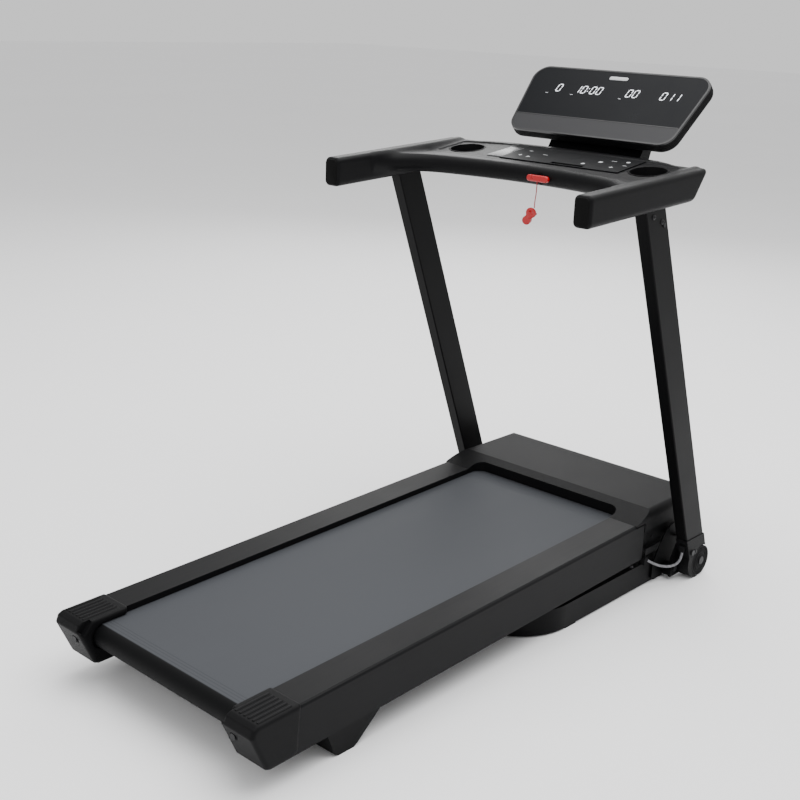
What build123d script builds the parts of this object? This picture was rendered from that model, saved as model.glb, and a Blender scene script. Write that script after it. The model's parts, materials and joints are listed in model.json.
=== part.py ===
from build123d import *
import os
from math import acos, asin, atan, cos, degrees, pi, radians, sin, sqrt, tan

# Folding home treadmill. Millimetres, +Z up, +Y towards the console, X left to right.
# Stations along Y are counted from the rear edge of the walking surface, and place()
# moves the finished pieces so that the origin is under the middle of the machine.
REAR_REACH = 57.0            # rear caps behind station 0, measured along the deck
REAR_POINT_Z = -18.0         # depth of the caps' rearmost point below the rail tops
FRONT_STATION = 1441.0       # front of the motor hood

# Deck. Its own flat frame has z = 0 on the rail tops, and deck() tilts it into place.
RAIL_TOP_Z = 145.0
DECK_PITCH = 1.32
RAIL_IN = 220.0
RAIL_OUT = 296.4
RAIL_DEEP = 95.3
RAIL_TOP_END = 1135.0
RAIL_SIDE_END = 1170.0
BELT_TOP = -14.2
BELT_HALF = 223.0
BELT_THICK = 1.6
ROLLER_Z = -38.8
ROLLER_OUTER = 22.7
BELT_INNER = 23.0
FRONT_ROLLER_Y = 1252.0
AXLE_R = 7.5
BOARD_THICK = 15.0
BEAM_IN = 250.0
BEAM_OUT = 280.0
BEAM_END = 1392.0
BEAM_TOP = -32.0
BEAM_BOTTOM = -92.0
CROSS_STATIONS = (150.0, 450.0, 750.0, 1050.0)

# Drive
MOTOR_Y = 1365.0
MOTOR_Z = -45.0
MOTOR_R = 40.0
PULLEY_IN = 228.5
PULLEY_OUT = 241.5
ROLLER_PULLEY_R = 36.0
MOTOR_PULLEY_R = 14.0
DRIVE_BELT_THICK = 2.5
SHAFT_R = 6.0
RUN_GAP = 0.05               # radial clearance of a running fit
BODY_GAP = 0.3               # least gap between two bodies

# Motor hood, in upright coordinates
HOOD_TOP_Z = 193.0
HOOD_CREASE = 1208.0
HOOD_LOW_HALF = 286.0
HOOD_WALL = 3.0
SLOT_END = 1180.0
SLOT_RADIUS = 27.0

# Base and uprights
PIVOT_Y = 1325.0
PIVOT_Z = 100.0
PIN_R = 8.0
TUBE_LOW = 4.0
TUBE_HIGH = 61.0
TUBE_OUT = 295.0
TUBE_WIDE = 31.0
BEND_R = 150.0
BASE_REAR = 716.0
BASE_SIDE_END = 1300.0
UP_IN = 326.3
UP_OUT = 356.3
UP_REAR_Y = 1317.8           # rear face at floor level
UP_LEAN = 0.399
UP_DEEP = 77.5
UP_WALL = 2.5
BOOT_Y = 1335.0
BOOT_R = 45.0
WHEEL_Y = 1349.0
WHEEL_Z = 40.0
WHEEL_R = 38.0

# Console
HANDLE_IN = 321.5
HANDLE_OUT = 363.4
HANDLE_DEEP = 64.8
HANDLE_REAR = 732.0
BAR_LOW = 948.0
BAR_SPLIT = 968.0
BAR_TOP = 990.0
BAR_NEAR = 1004.0
NEAR_R = 812.0
NEAR_HALF = 230.0
BAR_FAR = 1228.0
RIM_Z = 1011.0
CUP_X = 254.0
CUP_Y = 1105.0
CUP_R = 41.0
CUP_FLOOR = 963.0
CUP_LIP = 3.3
TRAY_FRONT = 1048.0
TRAY_BACK = 1192.0
TRAY_DEEP = 2.5
SLOPE_START = 1035.0
TRAY_SLOPE = 21.0 / 145.0
DISPLAY_Y = 1221.6
DISPLAY_Z = 1043.4
DISPLAY_TILT = 45.2
DISPLAY_HIGH = 206.0
DISPLAY_LOW_HALF = 227.0
DISPLAY_TOP_HALF = 252.0
DISPLAY_CORNER = 38.0
DISPLAY_THICK = 30.0
BAND_HIGH = 52.0

# Folding strut
STRUT_BASE = (1240.0, 42.0)
STRUT_DECK = (790.0, 52.0)
STRUT_R = 11.0
ROD_R = 5.0

# Signal cable and safety cord
CABLE_D = 6.4
CABLE_ROUTE = [
    (301.0, 1187.0, 72.0), (308.0, 1209.0, 57.0), (317.0, 1232.0, 46.5), (327.0, 1252.0, 42.0),
    (337.0, 1268.0, 46.0), (343.0, 1278.0, 60.0), (343.5, 1279.5, 79.0),
]
KEY_X = 42.0
KEY_Z = 966.0
CORD_D = 2.2
CLIP_TILT = 32.0
CLIP_TURN = 20.0
CORD_ROUTE = [
    (40.0, 996.0, 957.5), (40.6, 995.4, 944.0), (39.4, 996.2, 930.0), (37.6, 995.6, 915.0),
    (36.8, 996.4, 900.0),
]


def block(x0, x1, y0, y1, z0, z1):
    """A box between two opposite corners."""
    return Pos((x0 + x1) / 2, (y0 + y1) / 2, (z0 + z1) / 2) * Box(x1 - x0, y1 - y0, z1 - z0)


def side_profile(points, x0, x1):
    """Extrudes a closed outline of (y, z) points from x0 to x1."""
    outline = make_face(Polyline(*[(x0, y, z) for y, z in points], close=True))
    return extrude(outline, amount=x1 - x0, dir=(1, 0, 0))


def plan_profile(face, z0, z1):
    """Extrudes a plan outline upwards."""
    return extrude(Pos(0, 0, z0) * face, amount=z1 - z0, dir=(0, 0, 1))


def bar_x(radius, y, z, x0, x1):
    """A round bar along X."""
    return Pos((x0 + x1) / 2, y, z) * Rot(0, 90, 0) * Cylinder(radius, x1 - x0)


def bar_y(radius, x, z, y0, y1):
    """A round bar along Y."""
    return Pos(x, (y0 + y1) / 2, z) * Rot(90, 0, 0) * Cylinder(radius, y1 - y0)


def bar_z(radius, x, y, z0, z1):
    """An upright round bar."""
    return Pos(x, y, (z0 + z1) / 2) * Cylinder(radius, z1 - z0)


def tube_x(outer, inner, y, z, x0, x1):
    return bar_x(outer, y, z, x0, x1) - bar_x(inner, y, z, x0 - 1, x1 + 1)


def belt_loop(rear, front, outer, inner, x0, x1):
    """A flat belt round two pulleys: rear and front are (y, z, extra radius)."""
    return wrap(rear, front, outer, x0, x1) - wrap(rear, front, inner, x0 - 1, x1 + 1)


def wrap(rear, front, grow, x0, x1):
    """The solid round two circles (y, z, radius) and the space between their tangents."""
    ya, za, ra = rear
    yb, zb, rb = front
    ra, rb = ra + grow, rb + grow
    run = sqrt((yb - ya) ** 2 + (zb - za) ** 2)
    rise = atan((zb - za) / (yb - ya))
    spread = acos((ra - rb) / run)
    corners = [
        (ya + ra * cos(rise + spread), za + ra * sin(rise + spread)),
        (yb + rb * cos(rise + spread), zb + rb * sin(rise + spread)),
        (yb + rb * cos(rise - spread), zb + rb * sin(rise - spread)),
        (ya + ra * cos(rise - spread), za + ra * sin(rise - spread)),
    ]
    return side_profile(corners, x0, x1) + bar_x(ra, ya, za, x0, x1) + bar_x(rb, yb, zb, x0, x1)


def mirrored(shape):
    return mirror(shape, Plane.YZ)


def pair(shape):
    """The piece and its mirror image as two solids."""
    return Compound(list(shape.solids()) + list(mirrored(shape).solids()))


def group(*shapes):
    return Compound([solid for shape in shapes for solid in shape.solids()])


def deck(shape):
    """Tilts a piece of the deck from its flat frame into place."""
    return Pos(0, 0, RAIL_TOP_Z) * Rot(DECK_PITCH, 0, 0) * shape


def deck_station(y, z):
    """Station of a point of the deck's flat frame."""
    return y * cos(radians(DECK_PITCH)) - z * sin(radians(DECK_PITCH))


def deck_point(station, height):
    """The deck's flat (y, z) of a point given by its station and its height above the floor."""
    pitch = radians(DECK_PITCH)
    rise = height - RAIL_TOP_Z
    return station * cos(pitch) + rise * sin(pitch), rise * cos(pitch) - station * sin(pitch)


CENTRE_STATION = (FRONT_STATION + deck_station(-REAR_REACH, REAR_POINT_Z)) / 2


def place(shape):
    return Pos(0, -CENTRE_STATION, 0) * shape


def deck_z(y, z):
    """Height above the floor of a point of the deck's flat frame."""
    return RAIL_TOP_Z + y * sin(radians(DECK_PITCH)) + z * cos(radians(DECK_PITCH))


def soft_route(points, diameter):
    """A plain tube along straight runs joined by arcs as large as the runs allow."""
    radii = []
    for before, here, after in zip(points, points[1:], points[2:]):
        a = Vector(*here) - Vector(*before)
        b = Vector(*after) - Vector(*here)
        half_turn = radians(a.get_angle(b)) / 2
        radii.append(0.45 * min(a.length, b.length) / tan(half_turn))
    print("radii", [round(r, 1) for r in radii])
    path = FilletPolyline(*points, radius=radii)
    start = Plane(origin=path @ 0, z_dir=path % 0)
    tube = sweep(start * Circle(diameter / 2), path=path)
    print("volume over section times length", tube.volume / (pi * diameter ** 2 / 4 * path.length),
          "length", path.length)
    return tube


# ---------------------------------------------------------------- deck

def side_rail():
    """Right side rail: a thin extrusion with a foot strip, a skirt and a lip over the belt."""
    section = [
        (RAIL_IN, 0), (RAIL_OUT - 6, 0), (RAIL_OUT - 2, -1.8), (RAIL_OUT, -6), (RAIL_OUT, -RAIL_DEEP),
        (RAIL_OUT - 14, -RAIL_DEEP), (RAIL_OUT - 14, -RAIL_DEEP + 2.5), (RAIL_OUT - 2.5, -RAIL_DEEP + 2.5),
        (RAIL_OUT - 2.5, -7), (RAIL_OUT - 7, -3), (RAIL_IN + 3, -3), (RAIL_IN + 3, BELT_TOP + 1.4),
        (RAIL_IN, BELT_TOP + 1.4),
    ]
    outline = make_face(Polyline(*[(x, -12, z) for x, z in section], close=True))
    rail = extrude(outline, amount=RAIL_SIDE_END + 12, dir=(0, 1, 0))
    return rail - block(RAIL_IN - 1, RAIL_OUT - 2.6, RAIL_TOP_END, RAIL_SIDE_END + 1, -20, 1) \
        - block(RAIL_OUT - 8, RAIL_OUT + 1, RAIL_TOP_END, RAIL_SIDE_END + 1, -6.5, 1)


def end_cap():
    """Right rear cap: ribbed top, notch at the adjuster, pocket over the rail's end."""
    low = -RAIL_DEEP - 2.2
    outline = [(60, 2), (-38, 2), (-50, -2), (-56, -10), (-REAR_REACH, REAR_POINT_Z), (-22, low + 4),
               (-14, low), (40, low), (50, low + 6)]
    cap = side_profile(outline, 212, RAIL_OUT + 2.2)
    for index in range(6):
        x = 226 + 11.5 * index
        cap -= block(x, x + 3, -30, 50, 1.2, 3)
    pocket = [(61, 0.2), (-34, 0.2), (-45, -5), (-51, -17), (-19, low + 4), (-14, low + 2), (61, low + 2)]
    cap -= side_profile(pocket, RAIL_IN - 0.4, RAIL_OUT + 0.2)
    cap -= wrap((0, ROLLER_Z, 0), (200, ROLLER_Z, 0), BELT_INNER + BELT_THICK + 1.4, 205, RAIL_IN + 10)
    cap -= bar_y(7, 240, ROLLER_Z, -80, -20)
    cap -= side_profile([(-60, 3), (-26, 3), (-44, -20), (-60, -20)], 211, 222)
    rest = block(229, BEAM_IN - 1, -14, 14, low + 1, ROLLER_Z - AXLE_R)
    return cap + rest


def frame_beam():
    """Right frame beam: a box tube with the lug that holds the front roller's axle."""
    tube = block(BEAM_IN, BEAM_OUT, -12, BEAM_END, BEAM_BOTTOM, BEAM_TOP)
    tube -= block(BEAM_IN + 2, BEAM_OUT - 2, -13, BEAM_END + 1, BEAM_BOTTOM + 2, BEAM_TOP - 2)
    lug = block(BEAM_IN - 5.5, BEAM_IN, FRONT_ROLLER_Y - 26, FRONT_ROLLER_Y + 26, BEAM_BOTTOM + 8, BEAM_TOP)
    lug -= bar_x(AXLE_R, FRONT_ROLLER_Y, ROLLER_Z, BEAM_IN - 8, BEAM_IN + 1)
    pivot = deck_point(PIVOT_Y, PIVOT_Z)
    sleeve = bar_x(PIN_R + 5, *pivot, BEAM_IN, BEAM_OUT + 10)
    return tube + lug + sleeve - bar_x(PIN_R, *pivot, BEAM_IN - 1, BEAM_OUT + 12)


def cross_members():
    """Four flat box tubes under the board, the second with the strut's lug welded on."""
    top = BELT_TOP - BELT_THICK - BOARD_THICK - 8
    tubes = []
    for y in CROSS_STATIONS:
        tube = block(-BEAM_IN, BEAM_IN, y - 20, y + 20, top - 16, top)
        tubes.append(tube - block(-BEAM_IN - 1, BEAM_IN + 1, y - 18, y + 18, top - 14, top - 2))
    plate = block(-BEAM_IN, BEAM_IN, STRUT_DECK[0] - 22, STRUT_DECK[0] + 22, BEAM_BOTTOM, BEAM_BOTTOM + 4)
    lug = block(5.8, 10.8, STRUT_DECK[0] - 14, STRUT_DECK[0] + 14, BEAM_BOTTOM - 32, BEAM_BOTTOM + 2)
    return group(*tubes, plate + lug)


def roller(y, x_half):
    """A roller tube with the recesses of its two bearings."""
    return tube_x(ROLLER_OUTER, ROLLER_OUTER - 2.7, y, ROLLER_Z, -x_half, x_half)


def roller_bearings(y, x_half):
    ring = tube_x(ROLLER_OUTER - 2.7, AXLE_R + RUN_GAP, y, ROLLER_Z, x_half - 14, x_half - 2)
    return pair(ring)


def roller_pulley():
    """Grooved pulley on the left end of the front roller."""
    hub = bar_x(ROLLER_PULLEY_R, FRONT_ROLLER_Y, ROLLER_Z, -PULLEY_OUT, -PULLEY_IN)
    hub += bar_x(ROLLER_PULLEY_R + 2, FRONT_ROLLER_Y, ROLLER_Z, -PULLEY_IN, -PULLEY_IN + 2)
    hub += bar_x(ROLLER_OUTER - 3, FRONT_ROLLER_Y, ROLLER_Z, -PULLEY_IN, -PULLEY_IN + 3)
    return hub - bar_x(AXLE_R + RUN_GAP, FRONT_ROLLER_Y, ROLLER_Z, -PULLEY_OUT - 1, -PULLEY_IN + 4)


def motor_rotor():
    """Shaft, armature, flywheel and small pulley, turning as one."""
    turning = bar_x(SHAFT_R, MOTOR_Y, MOTOR_Z, -PULLEY_OUT - 2, -12)
    turning += bar_x(28, MOTOR_Y, MOTOR_Z, -170, -50)
    turning += bar_x(38, MOTOR_Y, MOTOR_Z, -222, -204)
    return turning + bar_x(MOTOR_PULLEY_R, MOTOR_Y, MOTOR_Z, -PULLEY_OUT, -PULLEY_IN)


def motor_can():
    can = bar_x(MOTOR_R, MOTOR_Y, MOTOR_Z, -196, -20)
    can -= bar_x(MOTOR_R - 5, MOTOR_Y, MOTOR_Z, -188, -28)
    return can - bar_x(SHAFT_R + RUN_GAP, MOTOR_Y, MOTOR_Z, -200, -10)


def motor_bracket():
    """Cross plate with a saddle that carries the motor between the two beams."""
    plate = block(-BEAM_IN, BEAM_IN, MOTOR_Y - 40, MOTOR_Y + 26, BEAM_BOTTOM, BEAM_BOTTOM + 4)
    saddle = block(-190, -26, MOTOR_Y - 30, MOTOR_Y + 30, BEAM_BOTTOM, MOTOR_Z - 26)
    saddle -= bar_x(MOTOR_R, MOTOR_Y, MOTOR_Z, -200, 0)
    return plate + saddle


def controller_board():
    board = block(40, 230, 1334, 1396, BEAM_BOTTOM + 10, BEAM_BOTTOM + 12)
    sink = block(50, 220, 1372, 1394, BEAM_BOTTOM + 12, BEAM_BOTTOM + 18)
    for index in range(8):
        sink += block(52 + 22 * index, 56 + 22 * index, 1372, 1394, BEAM_BOTTOM + 18, BEAM_BOTTOM + 44)
    posts = bar_z(4, 48, 1341, BEAM_BOTTOM + 4, BEAM_BOTTOM + 10)
    posts += bar_z(4, 222, 1341, BEAM_BOTTOM + 4, BEAM_BOTTOM + 10)
    chokes = Pos(110, 1350, BEAM_BOTTOM + 24) * Cylinder(12, 24) + Pos(170, 1350, BEAM_BOTTOM + 22) * Cylinder(9, 20)
    return board + sink + posts + chokes


def hood_block(inset):
    """The hood's outer form, or its cavity when inset by the wall."""
    half = RAIL_OUT - inset
    low_half = HOOD_LOW_HALF - inset
    front = FRONT_STATION - inset
    top = HOOD_TOP_Z - inset
    plan = Pos(0, (1100 + front) / 2) * RectangleRounded(2 * half, front - 1100, 44 - inset)
    upper = plan_profile(plan, 146 + inset, 210)
    arc = [(front - 40 + 40 * sin(a), top - 40 + 40 * cos(a)) for a in [radians(15 * k) for k in range(7)]]
    upper &= side_profile([(RAIL_TOP_END, 100), (RAIL_TOP_END, 171.3 - inset), (HOOD_CREASE, top)] + arc
                          + [(front, 100)], -400, 400)
    crown = Pos(0, 0, (top + 60) / 2) * Rot(90, 0, 0) * RectangleRounded(2 * half, top - 60, 19)
    upper &= Pos(0, 1700, 0) * extrude(crown, amount=900, dir=(0, -1, 0))
    low_plan = Pos(0, (RAIL_SIDE_END + 2 + front) / 2) * RectangleRounded(
        2 * low_half, front - RAIL_SIDE_END - 2, 30 - inset)
    lower = plan_profile(low_plan, 84, 150 + inset)
    lower &= side_profile([(1100, 84), (1404 - inset, 84), (front, 128), (front, 160), (1100, 160)], -400, 400)
    return upper + lower


def slot_outline(grow):
    return Pos(0, (900 + SLOT_END + grow) / 2) * RectangleRounded(
        2 * (RAIL_IN + grow), SLOT_END + grow - 900, SLOT_RADIUS + grow)


def motor_hood():
    """Hood with a ramp at the rear, cut round the belt, with a lip down to the belt."""
    outer = hood_block(0)
    hood = outer - hood_block(HOOD_WALL)
    hood -= block(-HOOD_LOW_HALF + HOOD_WALL, HOOD_LOW_HALF - HOOD_WALL, RAIL_SIDE_END + 5, 1402, 80, 88)
    hood -= block(-290, 290, 1100, RAIL_SIDE_END + 6, 60, 140)
    hood -= block(3 - RAIL_OUT, RAIL_OUT - 3, 1100, SLOT_END + 10, 60, 149.5)
    belt_z = deck_z(SLOT_END, BELT_TOP) + 1.5
    lip = plan_profile(slot_outline(2.5), belt_z, 200) & outer
    lip -= block(-400, 400, 800, RAIL_TOP_END + 1, 0, 300)
    hood += lip
    hood -= plan_profile(slot_outline(0), 100, 220)
    beam_clear = block(BEAM_IN - 8, RAIL_OUT + 2, 1100, RAIL_SIDE_END + 4, 60, 168)
    hood -= beam_clear + mirrored(beam_clear)
    ends = block(RAIL_OUT - 8.5, RAIL_OUT + 3, 1120, RAIL_SIDE_END + 1, 100, 166.5)
    hood -= ends + mirrored(ends)
    hood -= block(-217, -167, 1430, 1450, 132, 158)
    hood -= block(-150, -122, 1430, 1450, 134, 156)
    return hood - bar_x(15, PIVOT_Y, PIVOT_Z, -400, 400)


def belly_pan():
    pan = block(-BEAM_OUT + 6, BEAM_OUT - 6, 1184, 1396, BEAM_BOTTOM - 3, BEAM_BOTTOM - 0.5)
    for index in range(6):
        pan -= block(60 + 24 * index, 70 + 24 * index, 1240, 1300, BEAM_BOTTOM - 4, BEAM_BOTTOM)
    return pan


def rear_foot():
    """Right wedge foot under the rail, standing on the floor."""
    under = -RAIL_DEEP - 0.1
    top = [(266, deck_z(266, under)), (127, deck_z(127, under))]
    foot = side_profile(top + [(146, 6), (156, 0), (196, 0), (206, 6)], 244, RAIL_OUT - 1)
    return foot


def power_inlet():
    """Mains inlet in the front of the hood, with its socket and three blades."""
    shell = block(-217, -167, 1420, 1441, 132, 158) - block(-206, -178, 1424, 1442, 137, 153)
    for x in (-199, -192, -185):
        shell += block(x - 1, x + 1, 1423, 1430, 143, 148)
    return shell


def power_rocker():
    """Rocker key of the mains switch."""
    key = bar_x(10.4, 1430.6, 145, -149.5, -122.5) & block(-149.5, -122.5, 1428, 1441, 134.6, 155.4)
    return key - bar_x(14, 1451, 145, -150, -122)


# ---------------------------------------------------------------- base

def base_side_tube():
    tube = block(TUBE_OUT - TUBE_WIDE, TUBE_OUT, BASE_REAR + BEND_R, BASE_SIDE_END, TUBE_LOW, TUBE_HIGH)
    return tube - block(TUBE_OUT - TUBE_WIDE + 2, TUBE_OUT - 2, 0, 2000, TUBE_LOW + 2, TUBE_HIGH - 2)


def base_corner_bend():
    """Right rear bend of the base frame."""
    centre = (TUBE_OUT - BEND_R, BASE_REAR + BEND_R)
    ring = Pos(*centre, (TUBE_LOW + TUBE_HIGH) / 2) * (
        Cylinder(BEND_R, TUBE_HIGH - TUBE_LOW) - Cylinder(BEND_R - TUBE_WIDE, 100))
    return ring & block(centre[0], 400, 0, centre[1], 0, 200)


def base_cross_tubes():
    """Rear cross tube between the bends, and the front cross tube with the strut's lug."""
    span = TUBE_OUT - BEND_R
    rear = block(-span, span, BASE_REAR, BASE_REAR + TUBE_WIDE, TUBE_LOW, TUBE_HIGH)
    rear -= block(-400, 400, BASE_REAR + 2, BASE_REAR + TUBE_WIDE - 2, TUBE_LOW + 2, TUBE_HIGH - 2)
    front = block(-TUBE_OUT + TUBE_WIDE, TUBE_OUT - TUBE_WIDE, 1258, 1298, 8, 46)
    front -= block(-400, 400, 1260, 1296, 10, 44)
    lug = block(-3, 3, STRUT_BASE[0] - 12, 1258, STRUT_BASE[1] - 12, STRUT_BASE[1] + 4)
    pin = bar_x(5, *STRUT_BASE, -14, 14)
    return group(rear, front + lug + pin)


def hinge_plate():
    """Right bracket between the base tube and the upright: two leaves that carry the deck's hinge pin."""
    outline = [(1264, 10), (1264, 58), (1300, 112), (1312, 118), (1338, 118), (1350, 108), (1356, 60), (1330, 10)]
    plate = side_profile(outline, UP_IN - 6, UP_IN)
    foot = block(TUBE_OUT, UP_IN - 5, 1266, 1298, 12, 34)
    leaf = side_profile([(1220, 12), (1220, 50), (1246, 96), (1270, 124), (1296, 134), (1336, 134), (1352, 124),
                         (1358, 96), (1350, 12)], TUBE_OUT + 2.3, TUBE_OUT + 5.3)
    spacer = block(TUBE_OUT, TUBE_OUT + 2.4, 1222, 1296, 12, 50)
    return plate + foot + leaf + spacer - bar_x(PIN_R + RUN_GAP, PIVOT_Y, PIVOT_Z, 290, 340)


def hinge_pin():
    """Right hinge bolt: shank through the plate into the deck's sleeve, with its head inside."""
    return bar_x(PIN_R, PIVOT_Y, PIVOT_Z, BEAM_IN + 2, UP_IN - 0.4) + bar_x(12, PIVOT_Y, PIVOT_Z, 292, 297)


def lean_y(z):
    """Station of the upright's rear face at height z."""
    return UP_REAR_Y - UP_LEAN * z


def lean_block(x0, x1, z0, z1, inset=0.0):
    """A block that leans with the uprights."""
    rear, deep = inset, UP_DEEP - inset
    return side_profile([(lean_y(z0) + rear, z0), (lean_y(z0) + deep, z0), (lean_y(z1) + deep, z1),
                         (lean_y(z1) + rear, z1)], x0, x1)


def upright():
    """Right upright: a hollow rectangular tube with softened edges."""
    tube = lean_block(UP_IN, UP_OUT, 84, 976)
    long_edges = [edge for edge in tube.edges() if edge.length > 700]
    tube = fillet(long_edges, 3)
    return tube - lean_block(UP_IN + UP_WALL, UP_OUT - UP_WALL, 80, 980, UP_WALL + 0.3)


def boot():
    """Right lower boot: round-ended cover with the well of the transport wheel."""
    shape = bar_x(BOOT_R, BOOT_Y, BOOT_R, UP_IN + 0.2, UP_OUT + 1.6)
    shape += lean_block(UP_IN + 0.2, UP_OUT + 1.6, BOOT_R, 112, -1.5)
    shape -= lean_block(UP_IN - 1, UP_OUT, 84, 200)
    shape -= bar_x(WHEEL_R + 2.2, WHEEL_Y, WHEEL_Z, 339.5, 400)
    return shape - bar_x(6, WHEEL_Y, WHEEL_Z, 334, 342)


def wheel():
    """Right transport wheel with ridged face."""
    disc = bar_x(WHEEL_R, WHEEL_Y, WHEEL_Z, 341, UP_OUT + 1.2)
    for outer, inner in ((33, 30.5), (27, 24.5)):
        disc -= tube_x(outer, inner, WHEEL_Y, WHEEL_Z, UP_OUT - 1.2, UP_OUT + 5)
    return disc - bar_x(6 + RUN_GAP, WHEEL_Y, WHEEL_Z, 330, 400)


def base_bolt_set():
    """Right wheel axle bolt, the upright's and bracket's bolts, and the stop under the rail."""
    axle = bar_x(6, WHEEL_Y, WHEEL_Z, 334, 359) + bar_x(10, WHEEL_Y, WHEEL_Z, 358, 361)
    low = bar_x(7, 1303, 74, UP_OUT + 1.6, UP_OUT + 5)
    high = bar_x(5, lean_y(905) + 62, 905, UP_OUT, UP_OUT + 2.4)
    tube_bolt = bar_x(7, 1277, 30, UP_IN, UP_IN + 5)
    stop = bar_z(6.5, 286, 1141, TUBE_HIGH, TUBE_HIGH + 7)
    return group(axle, low, high, tube_bolt, stop)


def base_foot():
    """Rubber pad under the right bend."""
    return block(TUBE_OUT - 30, TUBE_OUT - 1, 872, 912, 0, TUBE_LOW)


def base_feet():
    front = block(TUBE_OUT - 30, TUBE_OUT - 1, 1240, 1280, 0, TUBE_LOW)
    rear = block(90, 130, BASE_REAR + 1, BASE_REAR + 30, 0, TUBE_LOW)
    return group(pair(base_foot()), pair(front), pair(rear))


# ---------------------------------------------------------------- console

def handle_top(y):
    return 1002.6 + 0.056 * (y - 1000)


def handle_outline(inset):
    rear = HANDLE_REAR + inset
    return [(rear, handle_top(rear) - inset), (1171.5 - 1.2 * inset, handle_top(1171.5) - inset),
            (1121 - 1.2 * inset, handle_top(1121) - HANDLE_DEEP + inset), (rear, handle_top(rear) - HANDLE_DEEP + inset)]


def handle():
    """Right handle: a hollow moulding round the upright's top."""
    shell = side_profile(handle_outline(0), HANDLE_IN, HANDLE_OUT)
    shell = fillet(shell.edges().filter_by(Axis.X), 10)
    shell = fillet([edge for edge in shell.edges() if edge.length > 300], 8)
    hollow = side_profile(handle_outline(3), HANDLE_IN + 3, HANDLE_OUT - 3)
    hollow = fillet([edge for edge in hollow.edges() if edge.length > 300], 5)
    shell -= hollow
    shell -= block(300, 400, 700, HANDLE_REAR + 5, 900, 1100)
    shell -= lean_block(UP_IN, UP_OUT, 900, 970)
    return shell - block(HANDLE_IN - 1, HANDLE_IN + 4, 985, 1140, BAR_LOW + 3, BAR_TOP - 6)


def handle_end_cap():
    """Right handle's end plug with a set-back face."""
    rear = HANDLE_REAR
    outline = [(rear, handle_top(rear) - 1), (rear + 5, handle_top(rear) - 1),
               (rear + 5, handle_top(rear) - HANDLE_DEEP + 1), (rear, handle_top(rear) - HANDLE_DEEP + 1)]
    plug = side_profile(outline, HANDLE_IN + 1, HANDLE_OUT - 1)
    plug = fillet(plug.edges().filter_by(Axis.Y), 9)
    return plug


def bar_plan():
    """Plan of the cross console: hollow curve on the user's side, bowed far side."""
    near_y = BAR_NEAR - NEAR_R + sqrt(NEAR_R ** 2 - NEAR_HALF ** 2)
    heading = asin(NEAR_HALF / NEAR_R)
    corner_r = (HANDLE_IN - NEAR_HALF) / (1 - sin(heading))
    corner_y = near_y - corner_r * cos(heading)
    near = ThreePointArc((-NEAR_HALF, near_y), (0, BAR_NEAR), (NEAR_HALF, near_y))
    right = TangentArc((NEAR_HALF, near_y), (HANDLE_IN, corner_y), tangent=(cos(heading), -sin(heading)))
    left = TangentArc((-NEAR_HALF, near_y), (-HANDLE_IN, corner_y), tangent=(-cos(heading), -sin(heading)))
    side_right = Line((HANDLE_IN, corner_y), (HANDLE_IN, 1178))
    far = ThreePointArc((HANDLE_IN, 1178), (0, BAR_FAR), (-HANDLE_IN, 1178))
    side_left = Line((-HANDLE_IN, 1178), (-HANDLE_IN, corner_y))
    return make_face([near, right, side_right, far, side_left, left])


def bar_form():
    """Outer form of the cross console before it is split."""
    form = plan_profile(bar_plan(), BAR_LOW, 1030)
    form &= side_profile([(800, 900), (800, BAR_TOP), (1035, BAR_TOP), (1180, RIM_Z), (1300, RIM_Z), (1300, 900)],
                         -400, 400)
    near = [edge for edge in form.edges() if edge.center().Y < 1006 and abs(edge.center().X) < 315
            and (abs(edge.center().Z - BAR_TOP) < 0.5 or abs(edge.center().Z - BAR_LOW) < 0.5)
            and edge.length > 50]
    return fillet(near, 19)


def tray_floor(y):
    """Height of the shallow tray, which climbs with the console's top."""
    return BAR_TOP + TRAY_SLOPE * (y - SLOPE_START) - TRAY_DEEP


def tray_pocket():
    plan = make_face([Line((-304, TRAY_FRONT), (304, TRAY_FRONT)), Line((304, TRAY_FRONT), (304, 1158)),
                      ThreePointArc((304, 1158), (0, TRAY_BACK), (-304, 1158)), Line((-304, 1158), (-304, TRAY_FRONT))])
    pocket = fillet(plan_profile(plan, 940, 1040).edges().filter_by(Axis.Z), 14)
    far = 1300
    return pocket & side_profile([(1000, tray_floor(1000)), (far, tray_floor(far)), (far, 1050), (1000, 1050)], -400, 400)


def console_cavity():
    plan = offset(bar_plan(), -6)
    roof = [(800, BAR_TOP - 7), (1035, BAR_TOP - 12), (1300, tray_floor(1300) - 4), (1300, 900), (800, 900)]
    return plan_profile(plan, BAR_LOW + 3, 1030) & side_profile(roof, -400, 400)


def cup_well(radius, low):
    return Pos(CUP_X, CUP_Y, low) * extrude(Circle(radius), amount=100)


def console_shell():
    shell = bar_form() - tray_pocket() - console_cavity()
    shell -= cup_well(CUP_R + 2, BAR_SPLIT - 30) & block(0, 400, 0, 2000, BAR_LOW + 4, 1040)
    shell -= mirrored(cup_well(CUP_R + 2, BAR_SPLIT - 30) & block(0, 400, 0, 2000, BAR_LOW + 4, 1040))
    shell -= bar_x(10.2, 1032, BAR_LOW + 19, -400, 400) + block(20, 108, 1064, 1076, 970, 1020)
    return shell - bar_y(9.5, KEY_X, KEY_Z, 980, BAR_NEAR + 10)


def console_top_shell():
    """Upper half of the cross console, with the trough under the tablet slot."""
    trough = block(17, 111, 1061, 1079, 964, 988) - block(20, 108, 1064, 1076, 966.5, 990)
    return (console_shell() & block(-400, 400, 800, 1300, BAR_SPLIT, 1100)) + trough


def console_bottom_shell():
    return console_shell() & block(-400, 400, 800, 1300, 900, BAR_SPLIT)


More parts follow.
